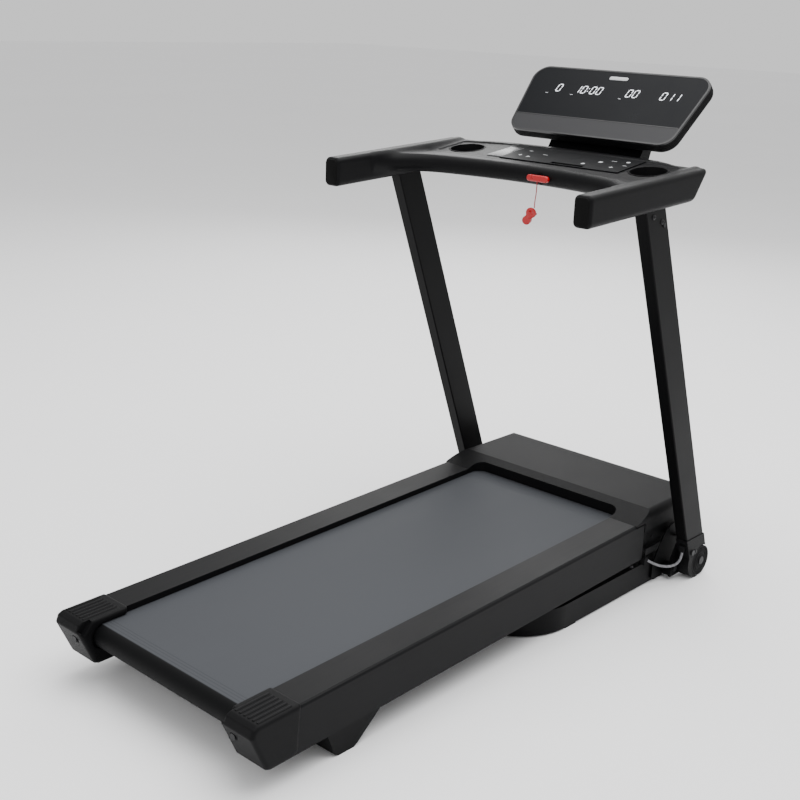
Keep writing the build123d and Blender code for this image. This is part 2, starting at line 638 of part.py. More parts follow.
def cup_liner():
    """Right cup holder: a round cup whose lip follows the slope of the tray."""
    low = CUP_FLOOR - 2
    cup = bar_z(CUP_R + 2, CUP_X, CUP_Y, low, 1050) - bar_z(CUP_R, CUP_X, CUP_Y, CUP_FLOOR, 1060)
    lip = CUP_LIP - TRAY_DEEP
    return cup & side_profile([(1000, 900), (1000, tray_floor(1000) + lip), (1200, tray_floor(1200) + lip), (1200, 900)],
                              200, 310)


def key_panel():
    """Glossy touch-key plate on the tray with the slot for a tablet at its near edge."""
    floor_line = [(1060, tray_floor(1060)), (1172, tray_floor(1172)), (1172, tray_floor(1172) + 2.5),
                  (1060, tray_floor(1060) + 2.5)]
    plate = side_profile(floor_line, -120, 204)
    return plate - block(20, 108, 1064, 1076, 950, 1020)


def key_socket():
    """Round socket of the safety key in the bar's near face."""
    ring = bar_y(9.4, KEY_X, KEY_Z, BAR_NEAR - 0.5, BAR_NEAR + 9)
    return ring - bar_y(7, KEY_X, KEY_Z, BAR_NEAR - 2, BAR_NEAR + 4)


def console_cross_tube():
    """Steel tube inside the console, with the end plates that bolt to the uprights."""
    tube = tube_x(10, 8, 1032, BAR_LOW + 19, -HANDLE_IN - 2.9, HANDLE_IN + 2.9)
    plate = block(HANDLE_IN + 3, UP_IN, 960, 1046, BAR_LOW + 5, BAR_LOW + 34)
    return tube + plate + mirrored(plate)


def on_display(shape):
    """Moves a piece drawn flat, x across, y up the face, z out of it, onto the display."""
    tilt = radians(DISPLAY_TILT)
    face = Plane(origin=(0, DISPLAY_Y, DISPLAY_Z), x_dir=(1, 0, 0), z_dir=(0, -sin(tilt), cos(tilt)))
    return face * shape


def display_outline(inset, low=0.0, high=DISPLAY_HIGH):
    """The display's tapered outline, or a strip of it between two heights."""
    def half(y):
        return DISPLAY_LOW_HALF + (DISPLAY_TOP_HALF - DISPLAY_LOW_HALF) * y / DISPLAY_HIGH
    full = make_face(Polyline((-half(0), 0), (half(0), 0), (half(DISPLAY_HIGH), DISPLAY_HIGH),
                              (-half(DISPLAY_HIGH), DISPLAY_HIGH), close=True))
    full = fillet(full.vertices(), DISPLAY_CORNER)
    if inset:
        full = offset(full, -inset)
    strip = Pos(0, (low + high) / 2) * Rectangle(700, high - low)
    return full & strip if (low, high) != (0.0, DISPLAY_HIGH) else full


def layer(face, z0, z1):
    return extrude(Pos(0, 0, z0) * face, amount=z1 - z0, dir=(0, 0, 1))


def display_rear_shell():
    shell = layer(display_outline(0), -DISPLAY_THICK, -5)
    back = [edge for edge in shell.edges() if abs(edge.center().Z + DISPLAY_THICK) < 0.1]
    shell = fillet(back, 7)
    return on_display(shell - layer(display_outline(8), -DISPLAY_THICK + 4, 0))


def display_bezel():
    return on_display(layer(display_outline(0), -5, 0) - layer(display_outline(4.5), -6, 1))


def display_glass():
    return on_display(layer(display_outline(4.7, BAND_HIGH, DISPLAY_HIGH), -5, -0.6))


def display_lower_band():
    return on_display(layer(display_outline(4.7, 0, BAND_HIGH - 0.3), -5, -0.4))


def display_board():
    return on_display(layer(Pos(0, 120) * Rectangle(380, 110), -14, -12.4)
                      + layer(Pos(0, 130) * Rectangle(340, 60), -12.4, -6))


def display_neck():
    """Wedge arm between the console's far side and the display's back."""
    arm = side_profile([(BAR_FAR + 0.2, 953), (1280, 953), (1298, 985), (1362, 1142), (1331, 1111),
                        (1255, 990), (BAR_FAR + 0.2, 990)], -131, 131)
    tilt = radians(DISPLAY_TILT)
    behind = on_display(layer(Pos(0, 100) * Rectangle(800, 800), -DISPLAY_THICK, 400))
    return arm - behind


# ---------------------------------------------------------------- strut, cable, key

def strut_angle():
    return degrees(atan((STRUT_DECK[1] - STRUT_BASE[1]) / (STRUT_BASE[0] - STRUT_DECK[0])))


def on_strut(shape):
    """Moves a piece drawn along -Y from the strut's base pivot into place."""
    return Pos(0, *STRUT_BASE) * Rot(-strut_angle(), 0, 0) * shape


def strut_cylinder():
    body = bar_y(STRUT_R, 0, 0, -250, -22) - bar_y(ROD_R + RUN_GAP, 0, 0, -251, -240)
    body -= bar_y(STRUT_R - 1.5, 0, 0, -242, -34)
    fork = block(-11, 11, -24, 10, -9, 9) - block(-4, 4, -16, 12, -10, 10)
    fork -= bar_x(5 + RUN_GAP, 0, 0, -20, 20)
    return on_strut(body + fork)


def strut_rod():
    length = sqrt((STRUT_BASE[0] - STRUT_DECK[0]) ** 2 + (STRUT_DECK[1] - STRUT_BASE[1]) ** 2)
    rod = bar_y(ROD_R, 0, 0, -length + 12, -60) + bar_y(STRUT_R - 1.5 - RUN_GAP, 0, 0, -72, -60)
    eye = block(-8, 3, -length - 13, -length + 14, -9, 9) - bar_x(5, -length, 0, -20, 20)
    return on_strut(rod + eye)


def safety_key():
    """Red pull key: a rounded bar on a short magnet stub."""
    bar = Pos(KEY_X, BAR_NEAR - 8.5, KEY_Z) * Rot(90, 0, 0) * extrude(SlotOverall(58, 14), amount=5.5, both=True)
    bar = fillet(bar.edges().filter_by(Plane.XZ), 3)
    return bar + bar_y(6.7, KEY_X, KEY_Z, BAR_NEAR - 3, BAR_NEAR + 3.4)


def clip_plan(y0, y1):
    """Two round lobes, a wide one at the finger end and a smaller one at the mouth."""
    lobes = bar_y(12, 0, -12, y0, y1) + bar_y(10, 0, -34, y0, y1) + block(-6, 6, y0, y1, -34, -12)
    rims = [edge for edge in lobes.edges() if edge.length > 20]
    return fillet(rims, 1.6)


def safety_clip():
    """Red garment clip: a fixed jaw with the cord's eye and the pivot barrel."""
    jaw = clip_plan(-6.8, -1.2)
    return jaw + bar_x(3.4, 0, -18, -9, 9)


def clip_jaw():
    """Moving jaw of the garment clip."""
    jaw = clip_plan(0.8, 6.4) - block(-20, 20, -1, 8, -9, 20)
    relief = side_profile([(0, -18), (0.8, -18), (4.2, -8), (0, -8)], -20, 20)
    return jaw - relief - bar_x(3.8, 0, -18, -20, 20)


def on_clip(shape):
    """Hangs a clip piece from the end of the safety cord, turned a little."""
    end = CORD_ROUTE[-1]
    return Pos(*end) * Rot(0, CLIP_TILT, 0) * Rot(0, 0, CLIP_TURN) * shape


def cable_grommets():
    """Grommet and bracket on the base tube, and the elbow on the upright's boot."""
    start, after = Vector(*CABLE_ROUTE[0]), Vector(*CABLE_ROUTE[1])
    along = (after - start).normalized()
    grommet = Plane(origin=start, z_dir=-along) * extrude(Circle(5.5), amount=11)
    bracket = block(287.5, 303, 1176, 1184, TUBE_HIGH, TUBE_HIGH + 13)
    x, y, z = CABLE_ROUTE[-1]
    elbow = block(x - 6, x + 6, y - 5, lean_y(z + 16) - 1.6, z, z + 16)
    return group(grommet + bracket, elbow)


def spool(y):
    """Fixed axle of a belt roller."""
    return bar_x(AXLE_R, y, ROLLER_Z, 1 - BEAM_IN, BEAM_IN - 1)


def roller_axles():
    rear = spool(0)
    for x in (-240, 240):
        rear -= bar_y(4, x, ROLLER_Z, -20, 20)
    return group(rear, spool(FRONT_ROLLER_Y))


def adjuster_bolt():
    return bar_y(4, 240, ROLLER_Z, -46, 34) + bar_y(6.5, 240, ROLLER_Z, -51, -44)


def deck_board():
    top = BELT_TOP - BELT_THICK
    return block(-232, 232, 34, 1206, top - BOARD_THICK, top)


def board_cushions():
    top = BELT_TOP - BELT_THICK - BOARD_THICK
    return group(*[bar_z(14, x, y, top - 8, top) for x in (-222, 222) for y in CROSS_STATIONS])


def running_belt():
    ends = (0, ROLLER_Z, BELT_INNER), (FRONT_ROLLER_Y, ROLLER_Z, BELT_INNER)
    return belt_loop(*ends, BELT_THICK, 0, -BELT_HALF, BELT_HALF)


def drive_belt():
    ends = (FRONT_ROLLER_Y, ROLLER_Z, ROLLER_PULLEY_R), (MOTOR_Y, MOTOR_Z, MOTOR_PULLEY_R)
    return belt_loop(*ends, BODY_GAP + DRIVE_BELT_THICK, BODY_GAP, -PULLEY_OUT + 1, -PULLEY_IN - 1)


PARTS = {
    "left_side_rail": lambda: deck(mirrored(side_rail())),
    "right_side_rail": lambda: deck(side_rail()),
    "rear_end_caps": lambda: deck(pair(end_cap())),
    "deck_frame_beams": lambda: deck(pair(frame_beam())),
    "deck_cross_members": lambda: deck(cross_members()),
    "deck_board": lambda: deck(deck_board()),
    "board_cushions": lambda: deck(board_cushions()),
    "running_belt": lambda: deck(running_belt()),
    "roller_axles": lambda: deck(roller_axles()),
    "adjuster_bolts": lambda: deck(pair(adjuster_bolt())),
    "front_roller": lambda: deck(roller(FRONT_ROLLER_Y, 226)),
    "front_roller_bearings": lambda: deck(roller_bearings(FRONT_ROLLER_Y, 226)),
    "front_roller_pulley": lambda: deck(roller_pulley()),
    "rear_roller": lambda: deck(roller(0, 226)),
    "rear_roller_bearings": lambda: deck(roller_bearings(0, 226)),
    "drive_belt": lambda: deck(drive_belt()),
    "motor_can": lambda: deck(motor_can()),
    "motor_rotor": lambda: deck(motor_rotor()),
    "motor_bracket": lambda: deck(motor_bracket()),
    "controller_board": lambda: deck(controller_board()),
    "belly_pan": lambda: deck(belly_pan()),
    "motor_hood": motor_hood,
    "rear_feet": lambda: pair(rear_foot()),
    "power_inlet": power_inlet,
    "power_rocker": power_rocker,
    "hinge_pins": lambda: pair(hinge_pin()),
    "base_side_tubes": lambda: pair(base_side_tube()),
    "base_corner_bends": lambda: pair(base_corner_bend()),
    "base_cross_tubes": base_cross_tubes,
    "hinge_plates": lambda: pair(hinge_plate()),
    "left_upright": lambda: mirrored(upright()),
    "right_upright": upright,
    "upright_boots": lambda: pair(boot()),
    "left_wheel": lambda: mirrored(wheel()),
    "right_wheel": wheel,
    "base_bolts": lambda: pair(base_bolt_set()),
    "base_feet": base_feet,
    "left_handle": lambda: mirrored(handle()),
    "right_handle": handle,
    "handle_end_caps": lambda: pair(handle_end_cap()),
    "console_cross_tube": console_cross_tube,
    "console_top_shell": console_top_shell,
    "console_bottom_shell": console_bottom_shell,
    "cup_liners": lambda: pair(cup_liner()),
    "key_panel": key_panel,
    "key_socket": key_socket,
    "display_rear_shell": display_rear_shell,
    "display_bezel": display_bezel,
    "display_glass": display_glass,
    "display_lower_band": display_lower_band,
    "display_board": display_board,
    "display_neck": display_neck,
    "strut_cylinder": strut_cylinder,
    "strut_rod": strut_rod,
    "safety_key": safety_key,
    "safety_cord": lambda: soft_route(CORD_ROUTE, CORD_D),
    "safety_clip": lambda: on_clip(safety_clip()),
    "safety_clip_jaw": lambda: on_clip(clip_jaw()),
    "signal_cable": lambda: soft_route(CABLE_ROUTE, CABLE_D),
    "cable_grommets": cable_grommets,
}


def main():
    os.makedirs("parts", exist_ok=True)
    for name, make in PARTS.items():
        export_step(place(make()), f"parts/{name}.step")


main()
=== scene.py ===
"""Folding home treadmill: finishes and fine parts round the fixed frame of solid parts."""
import json
from math import asin, atan, cos, pi, radians, sin, sqrt

import bmesh
import bpy
import numpy as np
from bpy.props import FloatProperty, FloatVectorProperty, PointerProperty
from mathutils import Matrix, Vector


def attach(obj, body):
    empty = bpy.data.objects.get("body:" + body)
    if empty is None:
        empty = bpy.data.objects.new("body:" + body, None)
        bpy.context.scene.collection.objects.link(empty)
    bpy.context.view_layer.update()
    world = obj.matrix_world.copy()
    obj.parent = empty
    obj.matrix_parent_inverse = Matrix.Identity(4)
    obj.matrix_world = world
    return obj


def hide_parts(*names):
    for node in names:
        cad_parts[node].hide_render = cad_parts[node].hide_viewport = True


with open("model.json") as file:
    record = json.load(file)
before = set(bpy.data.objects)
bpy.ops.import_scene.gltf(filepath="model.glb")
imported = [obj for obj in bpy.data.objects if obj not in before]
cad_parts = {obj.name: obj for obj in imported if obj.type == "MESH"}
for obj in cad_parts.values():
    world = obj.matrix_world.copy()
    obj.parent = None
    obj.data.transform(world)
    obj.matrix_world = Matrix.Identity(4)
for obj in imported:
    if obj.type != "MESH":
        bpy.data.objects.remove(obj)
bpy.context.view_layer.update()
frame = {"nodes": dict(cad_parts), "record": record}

bl_info = {
    "name": "Folding Treadmill",
    "version": (1, 0, 0),
    "blender": (4, 5, 0),
    "location": "3D View > Sidebar > Treadmill",
    "description": "Finishes and fine parts of a folding home treadmill",
    "category": "Object",
}

MM = 0.001
CENTRE = 692.215            # station under the middle of the machine, in millimetres

# Deck
DECK_PITCH = radians(1.32)
RAIL_TOP = 145.0

# Console
HANDLE_IN, HANDLE_OUT = 321.5, 363.4
HANDLE_DEEP = 64.8
HANDLE_REAR = 732.0
HANDLE_FRONT = 1171.5
FRONT_SLANT = 0.779
BAR_LOW, BAR_TOP, RIM_TOP = 948.0, 990.0, 1011.0
BAR_NEAR, NEAR_R, NEAR_HALF = 1004.0, 812.0, 230.0
BAR_FAR, BAR_SIDE_FAR = 1228.0, 1178.0
TRAY_HALF, TRAY_FRONT, TRAY_BACK, TRAY_SIDE_BACK = 304.0, 1048.0, 1192.0, 1158.0
TRAY_SLOPE, TRAY_DEEP, SLOPE_START = 21.0 / 145.0, 2.5, 1035.0
CUP_X, CUP_Y, CUP_R, CUP_LOW = 254.0, 1105.0, 43.3, 960.3
KEY_X, KEY_Z = 42.0, 966.0

# Display
DISPLAY_Y, DISPLAY_Z = 1221.6, 1043.4
DISPLAY_TILT = radians(45.2)
DISPLAY_HIGH = 206.0
DISPLAY_LOW_HALF, DISPLAY_TOP_HALF = 227.0, 252.0
DISPLAY_CORNER = 38.0

# Deck ends, wheels and hinges
CAP_IN, CAP_OUT = 212.0, 298.6
CAP_MESH_STEP = 2.6
CAP_RIBS, CAP_RIB_PITCH, CAP_RIB_X = 6, 11.5, 259.0
WHEEL_FACE_X, WHEEL_Y, WHEEL_Z = 357.2, 1349.0, 40.0
SKIRT_X, SKIRT_Y, SKIRT_Z = 298.8, 1240.0, 92.0

SIDES = ((-1, "left"), (1, "right"))


def on_machine(x, station, z):
    """A point given by its side, station and height in millimetres, as metres in the row frame."""
    return Vector((x * MM, (station - CENTRE) * MM, z * MM))


def deck_matrix():
    """From the deck's flat frame in millimetres to the row frame in metres."""
    lift = Matrix.Translation(on_machine(0, 0, RAIL_TOP))
    return lift @ Matrix.Rotation(DECK_PITCH, 4, "X") @ Matrix.Scale(MM, 4)


def display_matrix():
    """From the display face in millimetres, x across, y up it and z out of it, to the row frame."""
    place = Matrix.Translation(on_machine(0, DISPLAY_Y, DISPLAY_Z))
    return place @ Matrix.Rotation(DISPLAY_TILT, 4, "X") @ Matrix.Scale(MM, 4)


# ---------------------------------------------------------------- node building

class Link:
    """A socket that can be used in sums, so that an expression adds its Math nodes."""

    def __init__(self, tree, socket):
        self.tree = tree
        self.socket = socket

    def _math(self, operation, *values):
        node = self.tree.nodes.new("ShaderNodeMath")
        node.operation = operation
        for slot, value in zip(node.inputs, values):
            if isinstance(value, Link):
                self.tree.links.new(value.socket, slot)
            else:
                slot.default_value = value
        return Link(self.tree, node.outputs[0])

    def __add__(self, other):
        return self._math("ADD", self, other)

    __radd__ = __add__

    def __sub__(self, other):
        return self._math("SUBTRACT", self, other)

    def __rsub__(self, other):
        return self._math("SUBTRACT", other, self)

    def __mul__(self, other):
        return self._math("MULTIPLY", self, other)

    __rmul__ = __mul__

    def __truediv__(self, other):
        return self._math("DIVIDE", self, other)

    def __rtruediv__(self, other):
        return self._math("DIVIDE", other, self)

    def above(self, level):
        return self._math("GREATER_THAN", self, level)

    def below(self, level):
        return self._math("LESS_THAN", self, level)

    def least(self, other):
        return self._math("MINIMUM", self, other)

    def most(self, other):
        return self._math("MAXIMUM", self, other)

    def size(self):
        return self._math("ABSOLUTE", self)

    def wrapped(self, pitch):
        """Distance from the middle of a repeating cell."""
        return self._math("PINGPONG", self, pitch / 2)


class Builder:
    """Adds nodes to one tree: type, settings first, then the sockets by name or index."""

    def __init__(self, tree):
        self.tree = tree

    def add(self, kind, choices=None, **sockets):
        node = self.tree.nodes.new(kind)
        for name, value in (choices or {}).items():
            if name == "stops":
                ramp = node.color_ramp
                for index, (place, colour) in enumerate(value):
                    stop = ramp.elements[index] if index < 2 else ramp.elements.new(place)
                    stop.position, stop.color = place, (*colour, 1.0)
            else:
                setattr(node, name, value)
        for name, value in sockets.items():
            key = int(name[1:]) if name[0] == "_" and name[1:].isdigit() else name.replace("_", " ")
            slot = node.inputs[key]
            if isinstance(value, Link):
                self.tree.links.new(value.socket, slot)
            else:
                slot.default_value = value
        return Link(self.tree, node.outputs[0])


class Finish(Builder):
    """One surface: a material with its Principled shader and the patterns that feed it."""

    def __init__(self, name, **constant):
        self.material = bpy.data.materials.new(name)
        self.material.use_nodes = True
        super().__init__(self.material.node_tree)
        self.tree.nodes.clear()
        self.shader = self.tree.nodes.new("ShaderNodeBsdfPrincipled")
        output = self.tree.nodes.new("ShaderNodeOutputMaterial")
        self.tree.links.new(self.shader.outputs[0], output.inputs[0])
        for slot, value in constant.items():
            self.shader.inputs[slot.replace("_", " ")].default_value = value
        self.place = Link(self.tree, self.tree.nodes.new("ShaderNodeTexCoord").outputs["Object"])

    def axis(self, letter):
        node = self.tree.nodes.new("ShaderNodeSeparateXYZ")
        self.tree.links.new(self.place.socket, node.inputs[0])
        return Link(self.tree, node.outputs[letter])

    def stretched(self, x, y, z):
        return self.add("ShaderNodeMapping", Vector=self.place, Scale=(x, y, z))

    def noise(self, scale, detail=3.0, rough=0.55, place=None):
        return self.add("ShaderNodeTexNoise", Vector=place or self.place, Scale=scale,
                        Detail=detail, Roughness=rough)

    def cells(self, scale, feature="DISTANCE_TO_EDGE", place=None):
        return self.add("ShaderNodeTexVoronoi", {"feature": feature}, Vector=place or self.place,
                        Scale=scale)

    def blend(self, factor, low, high):
        node = self.tree.nodes.new("ShaderNodeMix")
        node.data_type = "RGBA"
        self.tree.links.new(factor.socket, node.inputs[0])
        for slot, value in ((node.inputs[6], low), (node.inputs[7], high)):
            if isinstance(value, Link):
                self.tree.links.new(value.socket, slot)
            else:
                slot.default_value = (*value, 1.0)
        return Link(self.tree, node.outputs[2])

    def ramp(self, factor, *stops):
        return self.add("ShaderNodeValToRGB", {"stops": stops}, _0=factor)

    def into(self, slot, value):
        self.tree.links.new(value.socket, self.shader.inputs[slot])
        return self

    def relief(self, height, depth, strength=1.0):
        """Feeds the shader's normal from a height pattern; depth in metres."""
        bump = self.add("ShaderNodeBump", Strength=strength, Distance=depth, Height=height)
        self.into("Normal", bump)
        return self


# ---------------------------------------------------------------- finishes

def shades(colour, spread):
    return tuple(c * (1 - spread) for c in colour), tuple(c * (1 + spread) for c in colour)


def powder_coat(name, colour, rough=0.42):
    """Steel with a fine orange-peel powder coat, a little rubbed here and there."""
    coat = Finish(name, Specular_IOR_Level=0.08)
    broad = coat.noise(6.0, 4.0)
    fine = coat.noise(650.0, 2.0, 0.6)
    low, high = shades(colour, 0.16)
    coat.into("Base Color", coat.blend(broad * 0.6 + fine * 0.4, low, high))
    coat.into("Roughness", broad * 0.14 + fine * 0.10 + (rough - 0.11))
    return coat.relief(fine, 0.00016, 0.55).material


def rail_paint():
    """Extruded rail: matt paint with faint drawing lines along its length and small scuffs."""
    paint = Finish("rail_coat", Specular_IOR_Level=0.10)
    drawn = paint.noise(1.0, 3.0, 0.6, paint.stretched(520.0, 3.0, 520.0))
    grain = paint.noise(900.0, 2.0, 0.5)
    cloud = paint.noise(4.0, 5.0)
    scuff = paint.noise(38.0, 6.0, 0.7, paint.stretched(1.0, 0.25, 1.0)).above(0.665)
    tone = settings().rail_colour
    low, high = shades(tone, 0.18)
    worn = tuple(c * 1.55 for c in tone)
    base = paint.blend(cloud * 0.5 + drawn * 0.5, low, high)
    paint.into("Base Color", paint.blend(scuff * 0.35, base, worn))
    paint.into("Roughness", cloud * 0.12 + drawn * 0.10 + 0.36)
    return paint.relief(drawn * 0.5 + grain * 0.5, 0.00011, 0.6).material


def leather_grain(name, colour, rough, scale=620.0, depth=0.00018):
    """Moulded plastic with a pebbled grain."""
    skin = Finish(name, Specular_IOR_Level=0.08)
    wander = skin.noise(120.0, 2.0)
    pebbles = skin.cells(scale)
    cloud = skin.noise(5.0, 4.0)
    low, high = shades(colour, 0.14)
    height = (pebbles * 4.0).least(1.0) * 0.75 + wander * 0.25
    skin.into("Base Color", skin.blend(cloud * 0.7 + height * 0.3, low, high))
    skin.into("Roughness", cloud * 0.10 + height * -0.08 + (rough + 0.02))
    return skin.relief(height, depth, 0.6).material


def belt_weave():
    """Walking belt: bluish grey, fine diamond grain, three creases near the rear darkened with
    painted shade, and painted shade past the rear edge where the belt turns round its roller and on
    its underside.
    """
    belt = Finish("belt_weave", Specular_IOR_Level=0.08)
    x, y, z = belt.axis("X"), belt.axis("Y"), belt.axis("Z")
    pitch = settings().belt_grain * MM
    one = ((x + y) / pitch).wrapped(1.0) * 2.0
    two = ((x - y) / pitch).wrapped(1.0) * 2.0
    diamond = one.least(two)
    fuzz = belt.noise(1500.0, 2.0, 0.6)
    streak = belt.noise(1.0, 4.0, 0.6, belt.stretched(26.0, 2.2, 26.0))
    cloud = belt.noise(2.6, 5.0)
    tone = settings().belt_colour
    low, high = shades(tone, 0.17)
    base = belt.blend(cloud * 0.45 + streak * 0.35 + fuzz * 0.2, low, high)
    # The three crease lines are grooves in the relief and are also darkened in colour, which is
    # painted shade in the creases.
    crease_lines = None
    for station in (6.0, 14.0, 21.0):
        line = (y - (station - CENTRE) * MM).size().below(0.0011)
        crease_lines = line if crease_lines is None else crease_lines.most(line)
    crease_lines = crease_lines * z.above(0.10)
    # Painted shade: the belt goes near black where it turns round the rear roller and on its
    # underside.
    roller_turn_mask = ((CENTRE * -MM - y) * 400.0).most(z * -60.0 + 7.35).most(0.0).least(1.0)
    # Darker tone for the diamond grain, and painted shade for the crease lines.
    grain_and_crease_shade = tuple(c * 0.62 for c in tone)
    topside = belt.blend(crease_lines * 0.55 + diamond * 0.12, base, grain_and_crease_shade)
    # Colour of the painted shade on the roller turn, a twentieth of the belt's tone.
    roller_turn_shade = tuple(c * 0.05 for c in tone)
    belt.into("Base Color", belt.blend(roller_turn_mask, topside, roller_turn_shade))
    belt.into("Roughness", cloud * 0.12 + streak * 0.10 + 0.46)
    return belt.relief(diamond * 0.6 + fuzz * 0.4 - crease_lines * 0.8, 0.00014, 0.55).material


def coated_board():
    """Fibreboard with a phenolic face."""
    board = Finish("board_face", Specular_IOR_Level=0.4)
    fibre = board.noise(1.0, 5.0, 0.6, board.stretched(60.0, 9.0, 400.0))
    board.into("Base Color", board.ramp(fibre, (0.3, (0.06, 0.045, 0.035)),
                                        (0.7, (0.16, 0.12, 0.09))))
    board.into("Roughness", fibre * 0.2 + 0.35)
    return board.relief(fibre, 0.0001, 0.4).material


def soft_rubber(name="black_rubber", colour=(0.006, 0.006, 0.0065)):
    """Moulded rubber, matt and slightly dusty."""
    rubber = Finish(name, Specular_IOR_Level=0.1)
    dust = rubber.noise(30.0, 5.0)
    grain = rubber.noise(1100.0, 2.0)
    low, high = shades(colour, 0.25)
    rubber.into("Base Color", rubber.blend(dust, low, high))
    rubber.into("Roughness", dust * 0.16 + 0.60)
    return rubber.relief(grain, 0.00012, 0.5).material


def bright_steel():
    """Zinc plated and turned steel with fine tool lines round its axis."""
    steel = Finish("steel", Metallic=1.0)
    lines = steel.noise(1.0, 3.0, 0.6, steel.stretched(1500.0, 30.0, 30.0))
    cloud = steel.noise(24.0, 4.0)
    steel.into("Base Color", steel.blend(cloud, (0.40, 0.41, 0.43), (0.58, 0.59, 0.60)))
    steel.into("Roughness", lines * 0.16 + cloud * 0.10 + 0.18)
    return steel.relief(lines, 0.00005, 0.4).material


def acrylic(name, colour, rough, level=0.4):
    """Gloss moulding or screen with a faint haze of handling marks."""
    gloss = Finish(name, Specular_IOR_Level=level)
    haze = gloss.noise(11.0, 6.0, 0.65)
    specks = gloss.noise(420.0, 2.0, 0.5)
    low, high = shades(colour, 0.10)
    gloss.into("Base Color", gloss.blend(haze, low, high))
    gloss.into("Roughness", haze * 0.12 + specks * 0.05 + (rough - 0.07))
    return gloss.relief(haze * 0.3 + specks * 0.05, 0.00005, 0.25).material


def black_bolt():
    """Blackened steel of the bolt heads, rubbed lighter in patches."""
    bolt = Finish("black_steel", Metallic=0.6, Specular_IOR_Level=0.3)
    rub = bolt.noise(160.0, 4.0)
    bolt.into("Base Color", bolt.blend(rub, (0.006, 0.006, 0.0065), (0.030, 0.030, 0.032)))
    bolt.into("Roughness", rub * 0.25 + 0.32)
    return bolt.relief(rub, 0.0001, 0.4).material


def red_gloss():
    """Injection moulded red with soft mould ripple."""
    red = Finish("signal_red", Specular_IOR_Level=0.5)
    ripple = red.noise(90.0, 3.0)
    red.into("Base Color", red.blend(ripple, (0.32, 0.0008, 0.0026), (0.43, 0.0020, 0.0044)))
    red.into("Roughness", ripple * 0.16 + 0.22)
    return red.relief(ripple, 0.0003, 0.4).material


def braided(name, colour, pitch, depth=0.0001):
    """Cord with a twist running along it."""
    cord = Finish(name, Specular_IOR_Level=0.35)
    x, y, z = cord.axis("X"), cord.axis("Y"), cord.axis("Z")
    twist = ((z + x * 0.7 + y * 0.7) / pitch).wrapped(1.0) * 2.0
    fuzz = cord.noise(900.0, 3.0)
    low, high = shades(colour, 0.3)
    cord.into("Base Color", cord.blend(twist * 0.6 + fuzz * 0.4, low, high))
    cord.into("Roughness", fuzz * 0.2 + 0.45)
    return cord.relief(twist * 0.7 + fuzz * 0.3, depth, 0.6).material


def circuit():
    """Solder mask with runs of tracks."""
    board = Finish("circuit_green", Specular_IOR_Level=0.5)
    tracks = board.cells(160.0, "DISTANCE_TO_EDGE", board.stretched(1.0, 1.0, 0.2)).below(0.05)
    cloud = board.noise(40.0, 3.0)
    base = board.blend(cloud, (0.012, 0.10, 0.05), (0.02, 0.15, 0.075))
    board.into("Base Color", board.blend(tracks, base, (0.05, 0.30, 0.14)))
    board.into("Roughness", cloud * 0.2 + 0.3)
    return board.relief(tracks, 0.00008, 0.5).material


def lit_white():
    """Glowing figures behind the screen."""
    glow = Finish("lit_white", Base_Color=(0.8, 0.82, 0.86, 1.0), Roughness=0.4,
                  Emission_Strength=0.9)
    flicker = glow.noise(160.0, 2.0)
    glow.into("Emission Color", glow.blend(flicker, (0.70, 0.74, 0.80), (0.92, 0.95, 1.0)))
    return glow.material


def printed_white():
    """Printed key marks, slightly uneven."""
    ink = Finish("printed_white", Specular_IOR_Level=0.4)
    patch = ink.noise(300.0, 3.0)
    ink.into("Base Color", ink.blend(patch, (0.34, 0.35, 0.36), (0.62, 0.63, 0.64)))
    ink.into("Roughness", patch * 0.2 + 0.35)
    return ink.material


FINISHES = {}


def finish_of(name):
    return FINISHES[name]


def make_finishes():
    FINISHES.update({
        "frame_paint": powder_coat("frame_paint", settings().frame_colour),
        "rail_coat": rail_paint(),
        "moulded_black": leather_grain("moulded_black", settings().moulding_colour, 0.46),
        "console_black": leather_grain("console_black", settings().console_colour, 0.40,
                                       900.0, 0.0001),
        "belt_weave": belt_weave(),
        "board_face": coated_board(),
        "black_rubber": soft_rubber(),
        "steel": bright_steel(),
        "gloss_black": acrylic("gloss_black", (0.0022, 0.0027, 0.0040), 0.28, level=0.08),
        "touch_panel": acrylic("touch_panel", (0.0030, 0.0032, 0.0038), 0.46, level=0.05),
        "band_grey": acrylic("band_grey", (0.020, 0.020, 0.022), 0.42, level=0.25),
        "bezel_trim": acrylic("bezel_trim", (0.012, 0.012, 0.013), 0.30),
        "black_steel": black_bolt(),
        "signal_red": red_gloss(),
        "cable_grey": braided("cable_grey", (0.16, 0.16, 0.17), 0.012, 0.00005),
        "circuit_green": circuit(),
        "motor_grey": powder_coat("motor_grey", (0.055, 0.055, 0.06), 0.36),
        "lit_white": lit_white(),
        "printed_white": printed_white(),
        "cord_red": braided("cord_red", (0.30, 0.006, 0.010), 0.0022),
        # Pale grey colour of the tray patch: a painted reflection.
        "tray_gloss": acrylic("tray_gloss", (0.035, 0.035, 0.037), 0.25, level=0.3),
        "deep_shadow": soft_rubber("deep_shadow", (0.0015, 0.0015, 0.0015)),
    })


def dress_frame():
    """Gives every solid part its finish, by the slot the record names for it."""
    slots = {row["node"]: row["material_slot"] for row in frame["record"]["subparts"]}
    for node, part in frame["nodes"].items():
        part.data.materials.clear()
        part.data.materials.append(finish_of("touch_panel" if node == "key_panel" else slots[node]))
        for polygon in part.data.polygons:
            polygon.material_index = 0


# ---------------------------------------------------------------- meshes

def linked(name, data):
    """A new object in the scene, at the origin."""
    thing = bpy.data.objects.new(name, data)
    bpy.context.scene.collection.objects.link(thing)
    return thing


